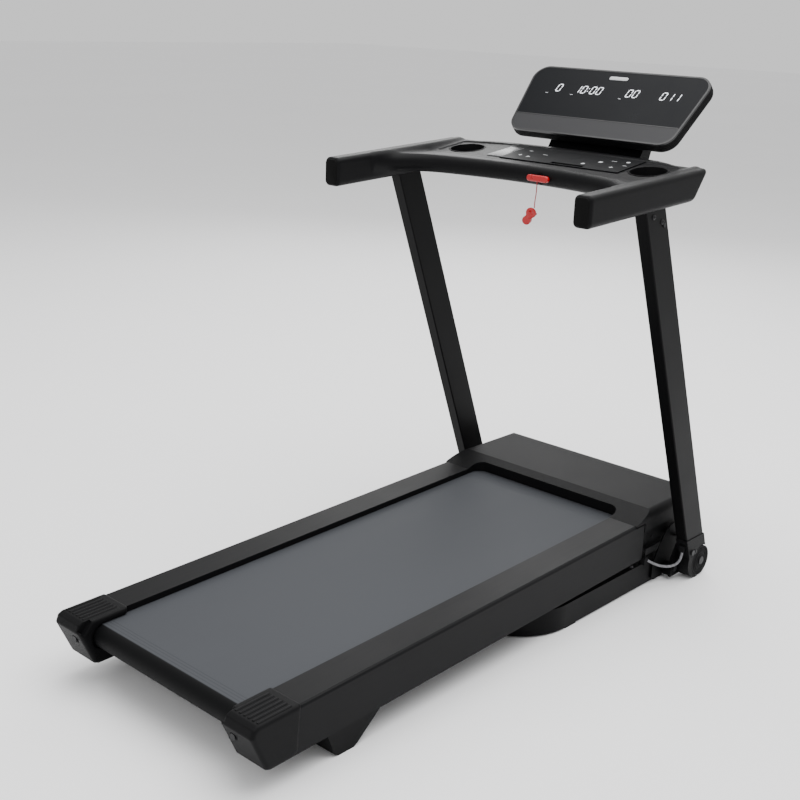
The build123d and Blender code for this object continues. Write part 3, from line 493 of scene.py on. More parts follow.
def new_object(name, mesh, body, finish, smooth):
    """Links a finished mesh that lies in the row frame and rides on a body."""
    piece = linked(name, mesh)
    mesh.materials.clear()
    mesh.materials.append(finish_of(finish))
    shade(mesh, smooth)
    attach(piece, body)
    return piece


def shade(mesh, degrees):
    """Smooth shading that keeps edges sharper than the angle."""
    for polygon in mesh.polygons:
        polygon.use_smooth = True
    mesh.set_sharp_from_angle(angle=radians(degrees))


def mesh_of(name, verts, faces, matrix=None):
    mesh = bpy.data.meshes.new(name)
    mesh.from_pydata([tuple(v) for v in verts], [], faces)
    if matrix is not None:
        mesh.transform(matrix)
    mesh.update()
    return mesh


def outward(mesh):
    """Merges doubles and turns every face outwards."""
    work = bmesh.new()
    work.from_mesh(mesh)
    bmesh.ops.remove_doubles(work, verts=work.verts, dist=1e-7)
    bmesh.ops.recalc_face_normals(work, faces=work.faces)
    work.to_mesh(mesh)
    work.free()
    mesh.update()
    return mesh


def joined(name, meshes):
    """One mesh from several, in the same frame."""
    work = bmesh.new()
    for mesh in meshes:
        work.from_mesh(mesh)
    result = bpy.data.meshes.new(name)
    work.to_mesh(result)
    work.free()
    return result


def prism(outline, low, high, bevel=0.0):
    """A closed outline of (x, y) drawn up from low to high, with its rims bevelled."""
    work = bmesh.new()
    floor = [work.verts.new((x, y, low)) for x, y in outline]
    face = work.faces.new(floor)
    grown = bmesh.ops.extrude_face_region(work, geom=[face])
    top = [g for g in grown["geom"] if isinstance(g, bmesh.types.BMVert)]
    for vert in top:
        vert.co.z = high
    bmesh.ops.recalc_face_normals(work, faces=work.faces)
    if bevel:
        rims = [e for e in work.edges if abs(e.verts[0].co.z - e.verts[1].co.z) < 1e-9
                and abs(e.verts[0].co.z - high) < 1e-6]
        bmesh.ops.bevel(work, geom=rims, offset=bevel, segments=2, affect="EDGES",
                        profile=0.5, clamp_overlap=True)
    mesh = bpy.data.meshes.new("prism")
    work.to_mesh(mesh)
    work.free()
    return mesh


def pill(half_x, half_y, radius, steps=6):
    """Outline of a rounded rectangle about the origin, anticlockwise."""
    points = []
    for quarter, (sx, sy) in enumerate(((1, 1), (-1, 1), (-1, -1), (1, -1))):
        for k in range(steps + 1):
            turn = pi / 2 * (quarter + k / steps)
            points.append((sx * (half_x - radius) + radius * cos(turn),
                           sy * (half_y - radius) + radius * sin(turn)))
    return points


def moved(outline, x, y, slant=0.0):
    return [(px + x + py * slant, py + y) for px, py in outline]


# ---------------------------------------------------------------- smooth forms from a field

def smooth_join(a, b, k):
    h = np.clip(0.5 + 0.5 * (b - a) / k, 0, 1)
    return b * (1 - h) + a * h - k * h * (1 - h)


def smooth_cut(a, b, k):
    return -smooth_join(-a, b, k)


def smooth_step(value, low, high):
    t = np.clip((value - low) / (high - low), 0, 1)
    return t * t * (3 - 2 * t)


def rounded(plan, height, radius):
    """A drawn form from its plan and height distances, with rounded rims."""
    a, b = plan + radius, height + radius
    return np.minimum(np.maximum(a, b), 0) + np.hypot(np.maximum(a, 0), np.maximum(b, 0)) - radius


def outline_distance(points, x, y):
    """Signed distance to a closed outline, negative inside."""
    x, y = np.broadcast_arrays(x, y)
    best = np.full(x.shape, 1e9)
    inside = np.zeros(x.shape, bool)
    for (x0, y0), (x1, y1) in zip(points, points[1:] + points[:1]):
        dx, dy = x1 - x0, y1 - y0
        t = np.clip(((x - x0) * dx + (y - y0) * dy) / (dx * dx + dy * dy + 1e-12), 0, 1)
        best = np.minimum(best, np.hypot(x - x0 - t * dx, y - y0 - t * dy))
        if y0 != y1:
            crossing = (y0 > y) != (y1 > y)
            inside ^= crossing & (x < (y - y0) * dx / dy + x0)
    return np.where(inside, -best, best)


def skin_field(name, field, low, high, step):
    """A closed quad mesh on the surface where the field is zero; the field is in millimetres."""
    axes = [np.arange(a - 1.5 * step, b + 2.5 * step, step) for a, b in zip(low, high)]
    grid = field(axes[0][:, None, None], axes[1][None, :, None], axes[2][None, None, :])
    solid = grid < 0
    count = [len(a) - 1 for a in axes]
    total = np.zeros((*count, 3))
    hits = np.zeros(count)
    corner = [slice(None, -1), slice(1, None)]
    for axis in range(3):
        others = [a for a in range(3) if a != axis]
        for u in (0, 1):
            for v in (0, 1):
                near, far = [None] * 3, [None] * 3
                near[axis], far[axis] = corner[0], corner[1]
                near[others[0]] = far[others[0]] = corner[u]
                near[others[1]] = far[others[1]] = corner[v]
                a, b = grid[tuple(near)], grid[tuple(far)]
                cross = (a < 0) != (b < 0)
                share = np.where(cross, a / np.where(cross, a - b, 1), 0)
                total[..., axis] += np.where(cross, share, 0)
                total[..., others[0]] += np.where(cross, u, 0)
                total[..., others[1]] += np.where(cross, v, 0)
                hits += cross
    used = hits > 0
    index = np.full(count, -1)
    index[used] = np.arange(used.sum())
    cell = np.argwhere(used)
    points = np.array([a[0] for a in axes]) + step * (cell + total[used] / hits[used][:, None])
    faces = []
    for axis in range(3):
        others = [(axis + 1) % 3, (axis + 2) % 3]
        a = np.take(solid, range(0, solid.shape[axis] - 1), axis)
        b = np.take(solid, range(1, solid.shape[axis]), axis)
        for place in np.argwhere(a != b):
            if min(place[others[0]], place[others[1]]) < 1:
                continue
            ring = []
            for u, v in ((0, 0), (-1, 0), (-1, -1), (0, -1)):
                at = place.copy()
                at[others[0]] += u
                at[others[1]] += v
                ring.append(int(index[tuple(at)]))
            faces.append(ring if a[tuple(place)] else ring[::-1])
    for _ in range(3):
        here = field(*points.T)
        small = 0.05
        slope = np.stack([(field(*(points + np.eye(3)[k] * small).T) - here) / small
                          for k in range(3)], 1)
        length = np.maximum((slope ** 2).sum(1), 0.2)
        points -= np.clip(here / length, -step, step)[:, None] * slope
    to_row = Matrix.Translation((0, -CENTRE * MM, 0)) @ Matrix.Scale(MM, 4)
    return mesh_of(name, points, faces, to_row)


# ---------------------------------------------------------------- console

def handle_top(y):
    return 1002.6 + 0.056 * (y - 1000)


def top_slope(y):
    """Height of the console's climbing top above the near roll."""
    return BAR_TOP + TRAY_SLOPE * (y - SLOPE_START)


def arc_points(centre, radius, start, end, steps):
    return [(centre[0] + radius * cos(start + (end - start) * k / steps),
             centre[1] + radius * sin(start + (end - start) * k / steps)) for k in range(steps + 1)]


def bar_outline(side, far, side_far):
    """Plan of the cross console: a hollow near side that turns into the handles."""
    heading = asin(NEAR_HALF / NEAR_R)
    near_y = BAR_NEAR - NEAR_R + NEAR_R * cos(heading)
    corner = (HANDLE_IN - NEAR_HALF) / (1 - sin(heading))
    half = arc_points((0, BAR_NEAR - NEAR_R), NEAR_R, pi / 2, pi / 2 - heading, 16)
    centre = (NEAR_HALF - corner * sin(heading), near_y - corner * cos(heading))
    half += arc_points(centre, corner, pi / 2 - heading, 0, 18)[1:]
    half += [(side, half[-1][1])]
    bow = far - side_far
    bow_r = (side * side + bow * bow) / (2 * bow)
    turn = asin(side / bow_r)
    half += arc_points((0, far - bow_r), bow_r, pi / 2 - turn, pi / 2, 18)
    return half + [(-x, y) for x, y in reversed(half[1:-1])]


def console_field(x, y, z):
    """Handles, cross bar and tray as one moulding."""
    side = np.abs(x)
    top = handle_top(y)
    height = np.abs(z - top + HANDLE_DEEP / 2) - HANDLE_DEEP / 2
    middle = (HANDLE_IN + HANDLE_OUT) / 2
    width = np.abs(side - middle) - (HANDLE_OUT - HANDLE_IN) / 2
    slant = sqrt(1 + FRONT_SLANT ** 2)
    front = (y - HANDLE_FRONT - FRONT_SLANT * (z - top)) / slant
    ends = -smooth_join(-front, y - HANDLE_REAR, 6.0)
    handles = rounded(rounded(width, height, 11.0), ends, 8.0)
    plan = outline_distance(BAR_PLAN, side, y)
    rise = np.clip(top_slope(y), BAR_TOP, RIM_TOP)
    outer = smooth_step(side, 150.0, 290.0)
    face = y - BAR_SIDE_FAR - FRONT_SLANT * outer * (z - RIM_TOP) - 60.0 * (1 - outer)
    plan = np.maximum(plan, face / 1.2)
    roll = 20.0 - 13.0 * smooth_step(y, 1032.0, 1080.0)
    bar = rounded(plan, np.maximum(z - rise, BAR_LOW - z), roll)
    body = smooth_join(handles, bar, 14.0)
    pocket = outline_distance(TRAY_PLAN, side, y) - 12.0
    floor = top_slope(y) - TRAY_DEEP
    body = smooth_cut(body, np.maximum(pocket, floor - z), 1.5)
    cup = np.hypot(side - CUP_X, y - CUP_Y) - CUP_R
    body = smooth_cut(body, np.maximum(cup, CUP_LOW - z), 0.8)
    slot = np.maximum(np.maximum(np.abs(x - 64.0) - 45.0, np.abs(y - 1070.0) - 7.0), 965.5 - z)
    body = np.maximum(body, -slot)
    bore = np.maximum(np.hypot(x - KEY_X, z - KEY_Z) - 9.7, y - 1014.2)
    return np.maximum(body, -bore)


BAR_PLAN = bar_outline(340.0, BAR_FAR, BAR_SIDE_FAR)
TRAY_PLAN = [(-TRAY_HALF + 12, TRAY_FRONT + 12), (TRAY_HALF - 12, TRAY_FRONT + 12)] + [
    (x, TRAY_BACK - 12 - (TRAY_BACK - TRAY_SIDE_BACK) * (x / (TRAY_HALF - 12)) ** 2)
    for x in np.linspace(TRAY_HALF - 12, 12 - TRAY_HALF, 24)]


def make_console():
    top = handle_top(HANDLE_FRONT) + 2
    mesh = skin_field("console_moulding", console_field, (-HANDLE_OUT, HANDLE_REAR, 920.0),
                      (HANDLE_OUT, BAR_FAR, top), settings().console_step)
    piece = new_object("console_moulding", mesh, "base", "console_black", 55)
    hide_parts("left_handle", "right_handle", "console_top_shell", "console_bottom_shell")
    return piece


def make_handle_ends():
    """Set-back end plugs of the handles, each with a bevelled rim."""
    for side, name in SIDES:
        middle = side * (HANDLE_IN + HANDLE_OUT) / 2
        high = handle_top(HANDLE_REAR) - HANDLE_DEEP / 2
        outline = pill(17.0, 28.4, 9.0)
        plug = prism(outline, 0.0, 2.6, 1.2)
        seat = Matrix.Translation(on_machine(middle, HANDLE_REAR + 1.4, high))
        plug.transform(seat @ Matrix.Rotation(pi / 2, 4, "X") @ Matrix.Scale(MM, 4))
        piece = new_object(f"{name}_handle_plug", outward(plug), "base", "deep_shadow",
                           40)
        if side > 0:
            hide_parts("handle_end_caps")


# ---------------------------------------------------------------- geometry nodes

class Pattern(Builder):
    """A Geometry Nodes tree with named inputs, baked to a plain mesh."""

    def __init__(self, name, **inputs):
        super().__init__(bpy.data.node_groups.new(name, "GeometryNodeTree"))
        kinds = {int: "NodeSocketInt", float: "NodeSocketFloat", tuple: "NodeSocketVector"}
        self.values = {}
        self.socket("Geometry", "INPUT", "NodeSocketGeometry")
        for label, value in inputs.items():
            self.values[self.socket(label, "INPUT", kinds[type(value)]).identifier] = value
        self.socket("Geometry", "OUTPUT", "NodeSocketGeometry")
        self.entry = self.tree.nodes.new("NodeGroupInput")

    def socket(self, label, way, kind):
        return self.tree.interface.new_socket(label, in_out=way, socket_type=kind)

    def input(self, label):
        return Link(self.tree, self.entry.outputs[label])

    def vector(self, x=0.0, y=0.0, z=0.0):
        return self.add("ShaderNodeCombineXYZ", _0=x, _1=y, _2=z)

    def finish(self, geometry, finish):
        """Realizes the copies, sets the finish and closes the tree."""
        real = self.add("GeometryNodeRealizeInstances", _0=geometry)
        painted = self.add("GeometryNodeSetMaterial", _0=real, Material=finish_of(finish))
        output = self.tree.nodes.new("NodeGroupOutput")
        self.tree.links.new(painted.socket, output.inputs[0])

    def bake(self, name, matrix, start=None):
        """The tree's result as a mesh in the row frame."""
        carrier = linked(name + "_carrier", start or bpy.data.meshes.new(name))
        modifier = carrier.modifiers.new(name, "NODES")
        modifier.node_group = self.tree
        for identifier, value in self.values.items():
            modifier[identifier] = value
        ready = carrier.evaluated_get(bpy.context.evaluated_depsgraph_get())
        mesh = bpy.data.meshes.new_from_object(ready)
        carrier.modifiers.remove(modifier)
        bpy.data.objects.remove(carrier)
        mesh.name = name
        mesh.transform(matrix)
        return mesh


def rib_row(name, count, pitch, size):
    """A row of straight ribs side by side along X, each a thin bar with a rounded back."""
    rib = Pattern(name, Ribs=count, Pitch=pitch, Length=size[1], Width=size[0], Height=size[2])
    line = rib.add("GeometryNodeMeshLine", Count=rib.input("Ribs"),
                   Offset=rib.vector(rib.input("Pitch")))
    spine = rib.add("GeometryNodeCurvePrimitiveLine",
                    Start=rib.vector(0.0, rib.input("Length") * -0.5),
                    End=rib.vector(0.0, rib.input("Length") * 0.5))
    back = rib.add("GeometryNodeCurvePrimitiveCircle", Resolution=10,
                   Radius=rib.input("Width") * 0.5)
    bar = rib.add("GeometryNodeCurveToMesh", Curve=spine, Profile_Curve=back, Fill_Caps=True)
    flat = rib.add("GeometryNodeTransform", Geometry=bar,
                   Scale=rib.vector(1.0, 1.0, rib.input("Height") / rib.input("Width")))
    return rib.add("GeometryNodeInstanceOnPoints", Points=line, Instance=flat), rib


def cap_field(x, y, z):
    """Rear cap of one side in the deck's flat frame, soft at every edge."""
    side = np.abs(x)
    profile = outline_distance(CAP_PROFILE, y, z)
    body = rounded(profile + 7.0, np.abs(side - 255.3) - 43.3 + 7.0, 0.5) - 7.0
    nip = np.maximum(np.hypot(np.minimum(y, 0.0), z + 38.8) - 26.2, side - 230.0)
    body = smooth_cut(body, nip, 3.0)
    bolt = np.maximum(np.hypot(side - 240.0, z + 38.8) - 8.0, y + 20.0)
    body = smooth_cut(body, bolt, 1.5)
    notch = np.maximum(np.abs(side - 214.0) - 8.5, np.abs(y + 46.0) + np.abs(z + 2.0) - 21.0)
    return smooth_cut(body, notch, 2.0)


CAP_PROFILE = [(60, 2), (-40, 2), (-51, -3), (-57, -18), (-24, -93.5), (-14, -97.5),
               (40, -97.5), (52, -90)]


def make_caps():
    """Both rear caps, each a soft-edged moulding over its rail's end."""
    flat = Matrix.Scale(1 / MM, 4) @ Matrix.Translation((0, CENTRE * MM, 0))
    meshes = []
    for side in (-1, 1):
        low, high = sorted((side * CAP_IN, side * CAP_OUT))
        mesh = skin_field("rear_cap_mouldings", cap_field, (low, -57, -98), (high, 60, 2),
                          CAP_MESH_STEP)
        mesh.transform(deck_matrix() @ flat)
        meshes.append(mesh)
    piece = new_object("rear_cap_mouldings", joined("rear_cap_mouldings", meshes), "deck",
                       "moulded_black", 50)
    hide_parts("rear_end_caps")


def make_cap_ribs():
    """Lengthwise grip ribs on top of the two rear caps."""
    for side, name in SIDES:
        ribs, tree = rib_row(f"{name}_cap_ribs", CAP_RIBS, CAP_RIB_PITCH, (6.4, 78.0, 3.4))
        tree.finish(ribs, "moulded_black")
        start = side * CAP_RIB_X - CAP_RIB_PITCH * (CAP_RIBS - 1) / 2
        mesh = tree.bake(f"{name}_cap_ribs", deck_matrix() @ Matrix.Translation((start, 4.0, 1.9)))
        new_object(f"{name}_cap_ribs", mesh, "deck", "moulded_black", 50)


def make_wheel_ribs():
    """Raised rings on the outer face of each transport wheel."""
    for side, name in SIDES:
        ring = Pattern(f"{name}_wheel_rings", Rings=3, Smallest=10.0, Step=7.0, Thickness=1.3)
        line = ring.add("GeometryNodeMeshLine", Count=ring.input("Rings"), Offset=(0.0, 0.0, 0.0))
        circle = ring.add("GeometryNodeCurvePrimitiveCircle", Resolution=56, Radius=1.0)
        number = ring.add("GeometryNodeInputIndex")
        size = number * ring.input("Step") + ring.input("Smallest")
        placed = ring.add("GeometryNodeInstanceOnPoints", Points=line, Instance=circle,
                          Scale=ring.vector(size, size, size))
        rings = ring.add("GeometryNodeRealizeInstances", _0=placed)
        wire = ring.add("GeometryNodeCurvePrimitiveCircle", Resolution=8,
                        Radius=ring.input("Thickness"))
        solid = ring.add("GeometryNodeCurveToMesh", Curve=rings, Profile_Curve=wire)
        ring.finish(solid, "black_rubber")
        seat = Matrix.Translation(on_machine(side * WHEEL_FACE_X, WHEEL_Y, WHEEL_Z))
        mesh = ring.bake(f"{name}_wheel_rings",
                         seat @ Matrix.Rotation(pi / 2, 4, "Y") @ Matrix.Scale(MM, 4))
        new_object(f"{name}_wheel_rings", mesh, f"{name}_wheel", "black_rubber", 40)


def make_screws():
    """Domed screw heads with a cross recess, on the frame, the console and the hood."""
    down, side_out = Matrix.Rotation(pi, 4, "X"), Matrix.Rotation(pi / 2, 4, "Y")
    groups = {
        "frame_screws": ("base", 6.0, "black_steel", [
            (side_out, (side * 356.9, y, z), side) for side in (-1, 1)
            for y, z in ((1010.0, 912.0), (975.0, 925.0))] + [
            (side_out, (side * 358.3, 1318.0, 72.0), side) for side in (-1, 1)]),
        "console_screws": ("base", 4.2, "moulded_black", [
            (down, (side * x, y, 947.4), 1) for side in (-1, 1)
            for x, y in ((60.0, 1040.0), (205.0, 1035.0), (150.0, 1165.0), (285.0, 1120.0))]),
        "hood_screws": ("deck", 4.6, "moulded_black", [
            (side_out, (side * 286.6, y, z), side) for side in (-1, 1)
            for y, z in ((1225.0, 118.0), (1388.0, 125.0))]),
    }
    for name, (body, radius, finish, seats) in groups.items():
        screw = Pattern(name, Radius=radius, Dome=radius * 0.42)
        head = screw.add("GeometryNodeMeshUVSphere", Segments=20, Rings=10,
                         Radius=screw.input("Radius"))
        dome = screw.add("GeometryNodeTransform", Geometry=head,
                         Scale=screw.vector(1.0, 1.0, screw.input("Dome") / screw.input("Radius")))
        long, thin = radius * 1.1, radius * 0.2
        cross = [screw.add("GeometryNodeMeshCube", Size=size)
                 for size in ((long, thin, radius), (thin, long, radius))]
        lift = screw.vector(0.0, 0.0, radius * 0.62)
        for bar in cross:
            cutter = screw.add("GeometryNodeTransform", Geometry=bar, Translation=lift)
            node = screw.tree.nodes.new("GeometryNodeMeshBoolean")
            node.operation = "DIFFERENCE"
            screw.tree.links.new(dome.socket, node.inputs[0])
            screw.tree.links.new(cutter.socket, node.inputs[1])
            dome = Link(screw.tree, node.outputs[0])
        screw.finish(dome, finish)
        heads = []
        for turn, place, facing in seats:
            flip = Matrix.Scale(facing, 4, (1, 0, 0)) if facing < 0 else Matrix.Identity(4)
            seat = Matrix.Translation(on_machine(*place)) @ flip @ turn @ Matrix.Scale(MM, 4)
            heads.append(outward(screw.bake(name, seat)))
        new_object(name, joined(name, heads), body, finish, 35)


def display_outline(inset, steps=10):
    """The display's tapered outline on its own face, anticlockwise."""
    def half(y):
        return DISPLAY_LOW_HALF + (DISPLAY_TOP_HALF - DISPLAY_LOW_HALF) * y / DISPLAY_HIGH
    lean = (DISPLAY_TOP_HALF - DISPLAY_LOW_HALF) / DISPLAY_HIGH
    radius = DISPLAY_CORNER - inset
    points = []
    for sx, low in ((1, True), (1, False), (-1, False), (-1, True)):
        y = inset + radius if low else DISPLAY_HIGH - inset - radius
        x = half(y) - inset * sqrt(1 + lean ** 2) - radius * sqrt(1 + lean ** 2)
        start = {(1, True): -90, (1, False): 0, (-1, False): 90, (-1, True): 180}[(sx, low)]
        points += arc_points((sx * x, y), radius, radians(start), radians(start + 90), steps)
    return points


def make_display_edge():
    """Fine ridges that run round the display's side, one behind another."""
    points = display_outline(-0.1)
    start = bpy.data.meshes.new("display_edge")
    start.from_pydata([(x, y, 0) for x, y in points], [(k, (k + 1) % len(points))
                                                       for k in range(len(points))], [])
    edge = Pattern("display_side_ridges", Ridges=4, Pitch=4.6, Ridge=0.85)
    curve = edge.add("GeometryNodeMeshToCurve", _0=edge.input("Geometry"))
    line = edge.add("GeometryNodeMeshLine", Count=edge.input("Ridges"),
                    Offset=edge.vector(0.0, 0.0, edge.input("Pitch") * -1.0))
    placed = edge.add("GeometryNodeInstanceOnPoints", Points=line, Instance=curve)
    every = edge.add("GeometryNodeRealizeInstances", _0=placed)
    wire = edge.add("GeometryNodeCurvePrimitiveCircle", Resolution=8, Radius=edge.input("Ridge"))
    solid = edge.add("GeometryNodeCurveToMesh", Curve=every, Profile_Curve=wire)
    edge.finish(solid, "moulded_black")
    seat = display_matrix() @ Matrix.Translation((0, 0, -7.2))
    mesh = edge.bake("display_side_ridges", seat, start)
    new_object("display_side_ridges", outward(mesh), "base", "moulded_black", 60)


def strip_mesh(name, outline, low, high, matrix, bevel=0.0):
    mesh = prism(outline, low, high, bevel)
    mesh.name = name
    mesh.transform(matrix)
    return mesh


SEGMENTS = {
    "0": "abcdef", "1": "bc", "2": "abged", "3": "abgcd", "4": "fgbc", "5": "afgcd",
    "6": "afgedc", "7": "abc", "8": "abcdefg", "9": "abfgcd",
}


def figure(sign, x, y, high, slant=0.14):
    """Outlines of one seven-segment figure, or of a colon, a mark or a dash."""
    wide, bar = high * 0.52, high * 0.095
    gap = bar * 0.35
    if sign == ":":
        dot = pill(bar * 0.6, bar * 0.6, bar * 0.5, 3)
        return [moved([(px, py + t * high) for px, py in dot], x, y, slant) for t in (0.3, 0.7)]
    if sign == "_":
        return [moved(pill(high * 0.3, bar * 0.28, bar * 0.2, 2), x + wide / 2, y - high * 0.28, 0)]
    across = {"a": high, "g": high / 2, "d": 0.0}
    upright = {"b": (wide, 0.75), "c": (wide, 0.25), "e": (0.0, 0.25), "f": (0.0, 0.75)}
    shapes = []
    for part in SEGMENTS[sign]:
        if part in across:
            half = wide / 2 - gap
            ring = [(-half, 0), (-half + bar / 2, -bar / 2), (half - bar / 2, -bar / 2), (half, 0),
                    (half - bar / 2, bar / 2), (-half + bar / 2, bar / 2)]
            ring = [(px + wide / 2, py + across[part]) for px, py in ring]
        else:
            at, share = upright[part]
            half = high / 4 - gap
            ring = [(0, -half), (bar / 2, -half + bar / 2), (bar / 2, half - bar / 2), (0, half),
                    (-bar / 2, half - bar / 2), (-bar / 2, -half + bar / 2)]
            ring = [(px + at, py + share * high) for px, py in ring]
        shapes.append(moved(ring, x, y, slant))
    return shapes


def make_figures():
    """Lit figures of the display's four windows, its blank badge and the line over its band."""
    level, high = 129.0, 22.0
    windows = [(-157.0, "0", -24.0), (-102.0, "10:00", -5.0), (44.0, "00", -14.0),
               (137.0, "011", None)]
    pieces = []
    for start, text, mark in windows:
        x = start
        for sign in text:
            for ring in figure(sign, x, level, high):
                pieces.append(strip_mesh("figure", ring, -0.62, -0.30, display_matrix()))
            x += high * (0.36 if sign == ":" else 0.82)
        for ring in figure("_", start + mark, level - 4.0, high * 0.55) if mark is not None else ():
            pieces.append(strip_mesh("figure", ring, -0.62, -0.32, display_matrix()))
    new_object("display_figures", joined("display_figures", pieces), "base", "lit_white",
               30)
    badge = strip_mesh("display_badge", moved(pill(26.0, 5.0, 4.4), 0, 182.0), -0.6, 0.5,
                       display_matrix(), 0.4)
    new_object("display_badge", badge, "base", "printed_white", 40)
    outline = [(-226.0, 51.2), (226.0, 51.2), (226.4, 53.2), (-226.4, 53.2)]
    line = strip_mesh("display_line", outline, -0.62, 0.05, display_matrix())
    new_object("display_line", line, "base", "bezel_trim", 30)


def tray_matrix(x, station):
    """From a small flat drawing in millimetres to the touch panel's face at a place on it."""
    place = Matrix.Translation(on_machine(x, station, top_slope(station)))
    return place @ Matrix.Rotation(atan(TRAY_SLOPE), 4, "X") @ Matrix.Scale(MM, 4)


def make_key_marks():
    """Generic printed marks of the touch keys, and the patch beside the panel whose pale grey
    colour is a painted reflection.
    """
    triangle = [(-4.5, -5), (5.5, 0), (-4.5, 5)]
    square = pill(4.4, 4.4, 0.8, 2)
    plus = [(-5, -1.1), (-1.1, -1.1), (-1.1, -5), (1.1, -5), (1.1, -1.1), (5, -1.1), (5, 1.1),
            (1.1, 1.1), (1.1, 5), (-1.1, 5), (-1.1, 1.1), (-5, 1.1)]
    minus = [(-5, -1.1), (5, -1.1), (5, 1.1), (-5, 1.1)]
    ring = [(4.8 * cos(2 * pi * k / 24), 4.8 * sin(2 * pi * k / 24)) for k in range(24)]
    dash = pill(7.0, 0.9, 0.8, 2)
    marks = [(-88, 1098, plus), (-88, 1140, minus), (-60, 1092, triangle), (-34, 1122, dash),
             (91, 1093, ring), (119, 1122, square), (166, 1092, plus), (186, 1116, minus),
             (142, 1142, dash), (176, 1146, ring)]
    pieces = [strip_mesh("mark", outline, -0.1, 0.12, tray_matrix(x, y)) for x, y, outline in marks]
    new_object("key_marks", joined("key_marks", pieces), "base", "printed_white",
               30)
    # Patch on the tray whose pale grey colour is a painted reflection.
    patch = strip_mesh("tray_patch", pill(21.0, 46.0, 3.0, 3), -2.8, -1.0,
                       tray_matrix(-143, 1112), 0.4)
    new_object("tray_patch", patch, "base", "tray_gloss", 40)


def clip_field(jaw):
    """One jaw of the garment clip in its own frame: a wide finger lobe and a smaller mouth lobe."""
    def field(x, y, z):
        lobes = smooth_join(np.hypot(x, z + 12.0) - 12.0, np.hypot(x, z + 34.0) - 10.0, 9.0)
        if not jaw:
            body = rounded(lobes, np.abs(y + 4.0) - 2.8, 2.4)
            dish = np.hypot(np.hypot(x, z + 12.0) * 0.8, y + 10.5) - 5.6
            barrel = np.maximum(np.hypot(y, z + 18.0) - 3.3, np.abs(x) - 8.6)
            return smooth_join(smooth_cut(body, dish, 1.5), barrel, 0.6)
        body = rounded(np.maximum(lobes, z + 9.2), np.abs(y - 3.6) - 2.8, 2.2)
        body = np.maximum(body, 3.9 - np.hypot(y, z + 18.0))
        return np.maximum(body, 0.8 + np.maximum(z + 18.0, 0.0) * 0.36 - y)
    return field


def clip_matrix():
    """From the clip's own frame, hung at the cord's end, to the row frame."""
    turn = Matrix.Rotation(radians(32.0), 4, "Y") @ Matrix.Rotation(radians(20.0), 4, "Z")
    return Matrix.Translation(on_machine(36.8, 996.4, 900.0)) @ turn @ Matrix.Scale(MM, 4)


def make_clip():
    back = Matrix.Scale(1 / MM, 4) @ Matrix.Translation((0, CENTRE * MM, 0))
    for name, node, body, jaw in (("clip_back", "safety_clip", "safety_key", False),
                                  ("clip_front", "safety_clip_jaw", "clip_jaw", True)):
        mesh = skin_field(name, clip_field(jaw), (-13, -8, -46), (13, 8, 1), 0.8)
        mesh.transform(clip_matrix() @ back)
        piece = new_object(name, mesh, body, "signal_red", 50)
        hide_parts(node)


def make_signal_cable():
    """Thin grey cable that loops out beside the deck and up into the upright's boot."""
    route = [(301.0, 1187.0, 72.0), (308.0, 1209.0, 57.0), (317.0, 1232.0, 46.5),
             (327.0, 1252.0, 42.0), (337.0, 1268.0, 46.0), (343.0, 1278.0, 60.0),
             (343.5, 1279.5, 79.0)]
    piece = cord_curve("signal_lead", route, 6.4, "cable_grey", "base")
    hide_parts("signal_cable")
    on_machine(*route[0])


def make_safety_cord():
    """Limp red cord that hangs from the pull key down to its clip."""
    route = [(40.0, 996.0, 957.5), (40.6, 995.4, 944.0), (39.4, 996.2, 930.0), (37.6, 995.6, 915.0),
             (36.8, 996.4, 900.0)]
    piece = cord_curve("safety_lanyard", route, 2.2, "cord_red", "safety_key")
    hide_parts("safety_cord")
    on_machine(*route[0])


def cord_curve(name, route, diameter, finish, body):
    """One smooth round cord through a route in millimetres."""
    curve = bpy.data.curves.new(name, "CURVE")
    curve.dimensions = "3D"
    spline = curve.splines.new("NURBS")
    spline.points.add(len(route) - 1)
    for point, place in zip(spline.points, route):
        point.co = (*on_machine(*place), 1.0)
    spline.order_u = 3
    spline.use_endpoint_u = True
    spline.resolution_u = 12
    curve.bevel_depth = diameter / 2 * MM
    curve.bevel_resolution = 5
    curve.use_fill_caps = True
    curve.materials.append(finish_of(finish))
    piece = linked(name, curve)
    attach(piece, body)
    return piece


# ---------------------------------------------------------------- stage

def make_camera():
    """A long lens from behind the runner's right shoulder, held slightly off level."""
    view = settings()
    turn, dip, roll = view.azimuth, view.elevation, view.roll
    ahead = Vector((-sin(turn) * cos(dip), cos(turn) * cos(dip), -sin(dip)))
    right = Vector((cos(turn), sin(turn), 0.0))
    up = right.cross(ahead)
    right, up = right * cos(roll) + up * sin(roll), up * cos(roll) - right * sin(roll)
    lens = bpy.data.cameras.new("studio_camera")
    lens.lens, lens.sensor_width = view.lens, 36.0
    lens.clip_end = 100.0
    camera = linked("studio_camera", lens)
    camera.matrix_world = Matrix.Translation(view.eye) @ Matrix(
        [(right[k], up[k], -ahead[k]) for k in range(3)]).to_4x4()
    bpy.context.scene.camera = camera


def soft_box(name, place, target, size, power):
    """A rectangular area light at a place, turned to its target."""
    lamp = bpy.data.lights.new(name, "AREA")
    lamp.shape, lamp.size, lamp.size_y = "RECTANGLE", *size
    lamp.energy = power
    box = linked(name, lamp)
    way = (Vector(target) - Vector(place)).to_track_quat("-Z", "Y")
    box.matrix_world = Matrix.Translation(place) @ way.to_matrix().to_4x4()


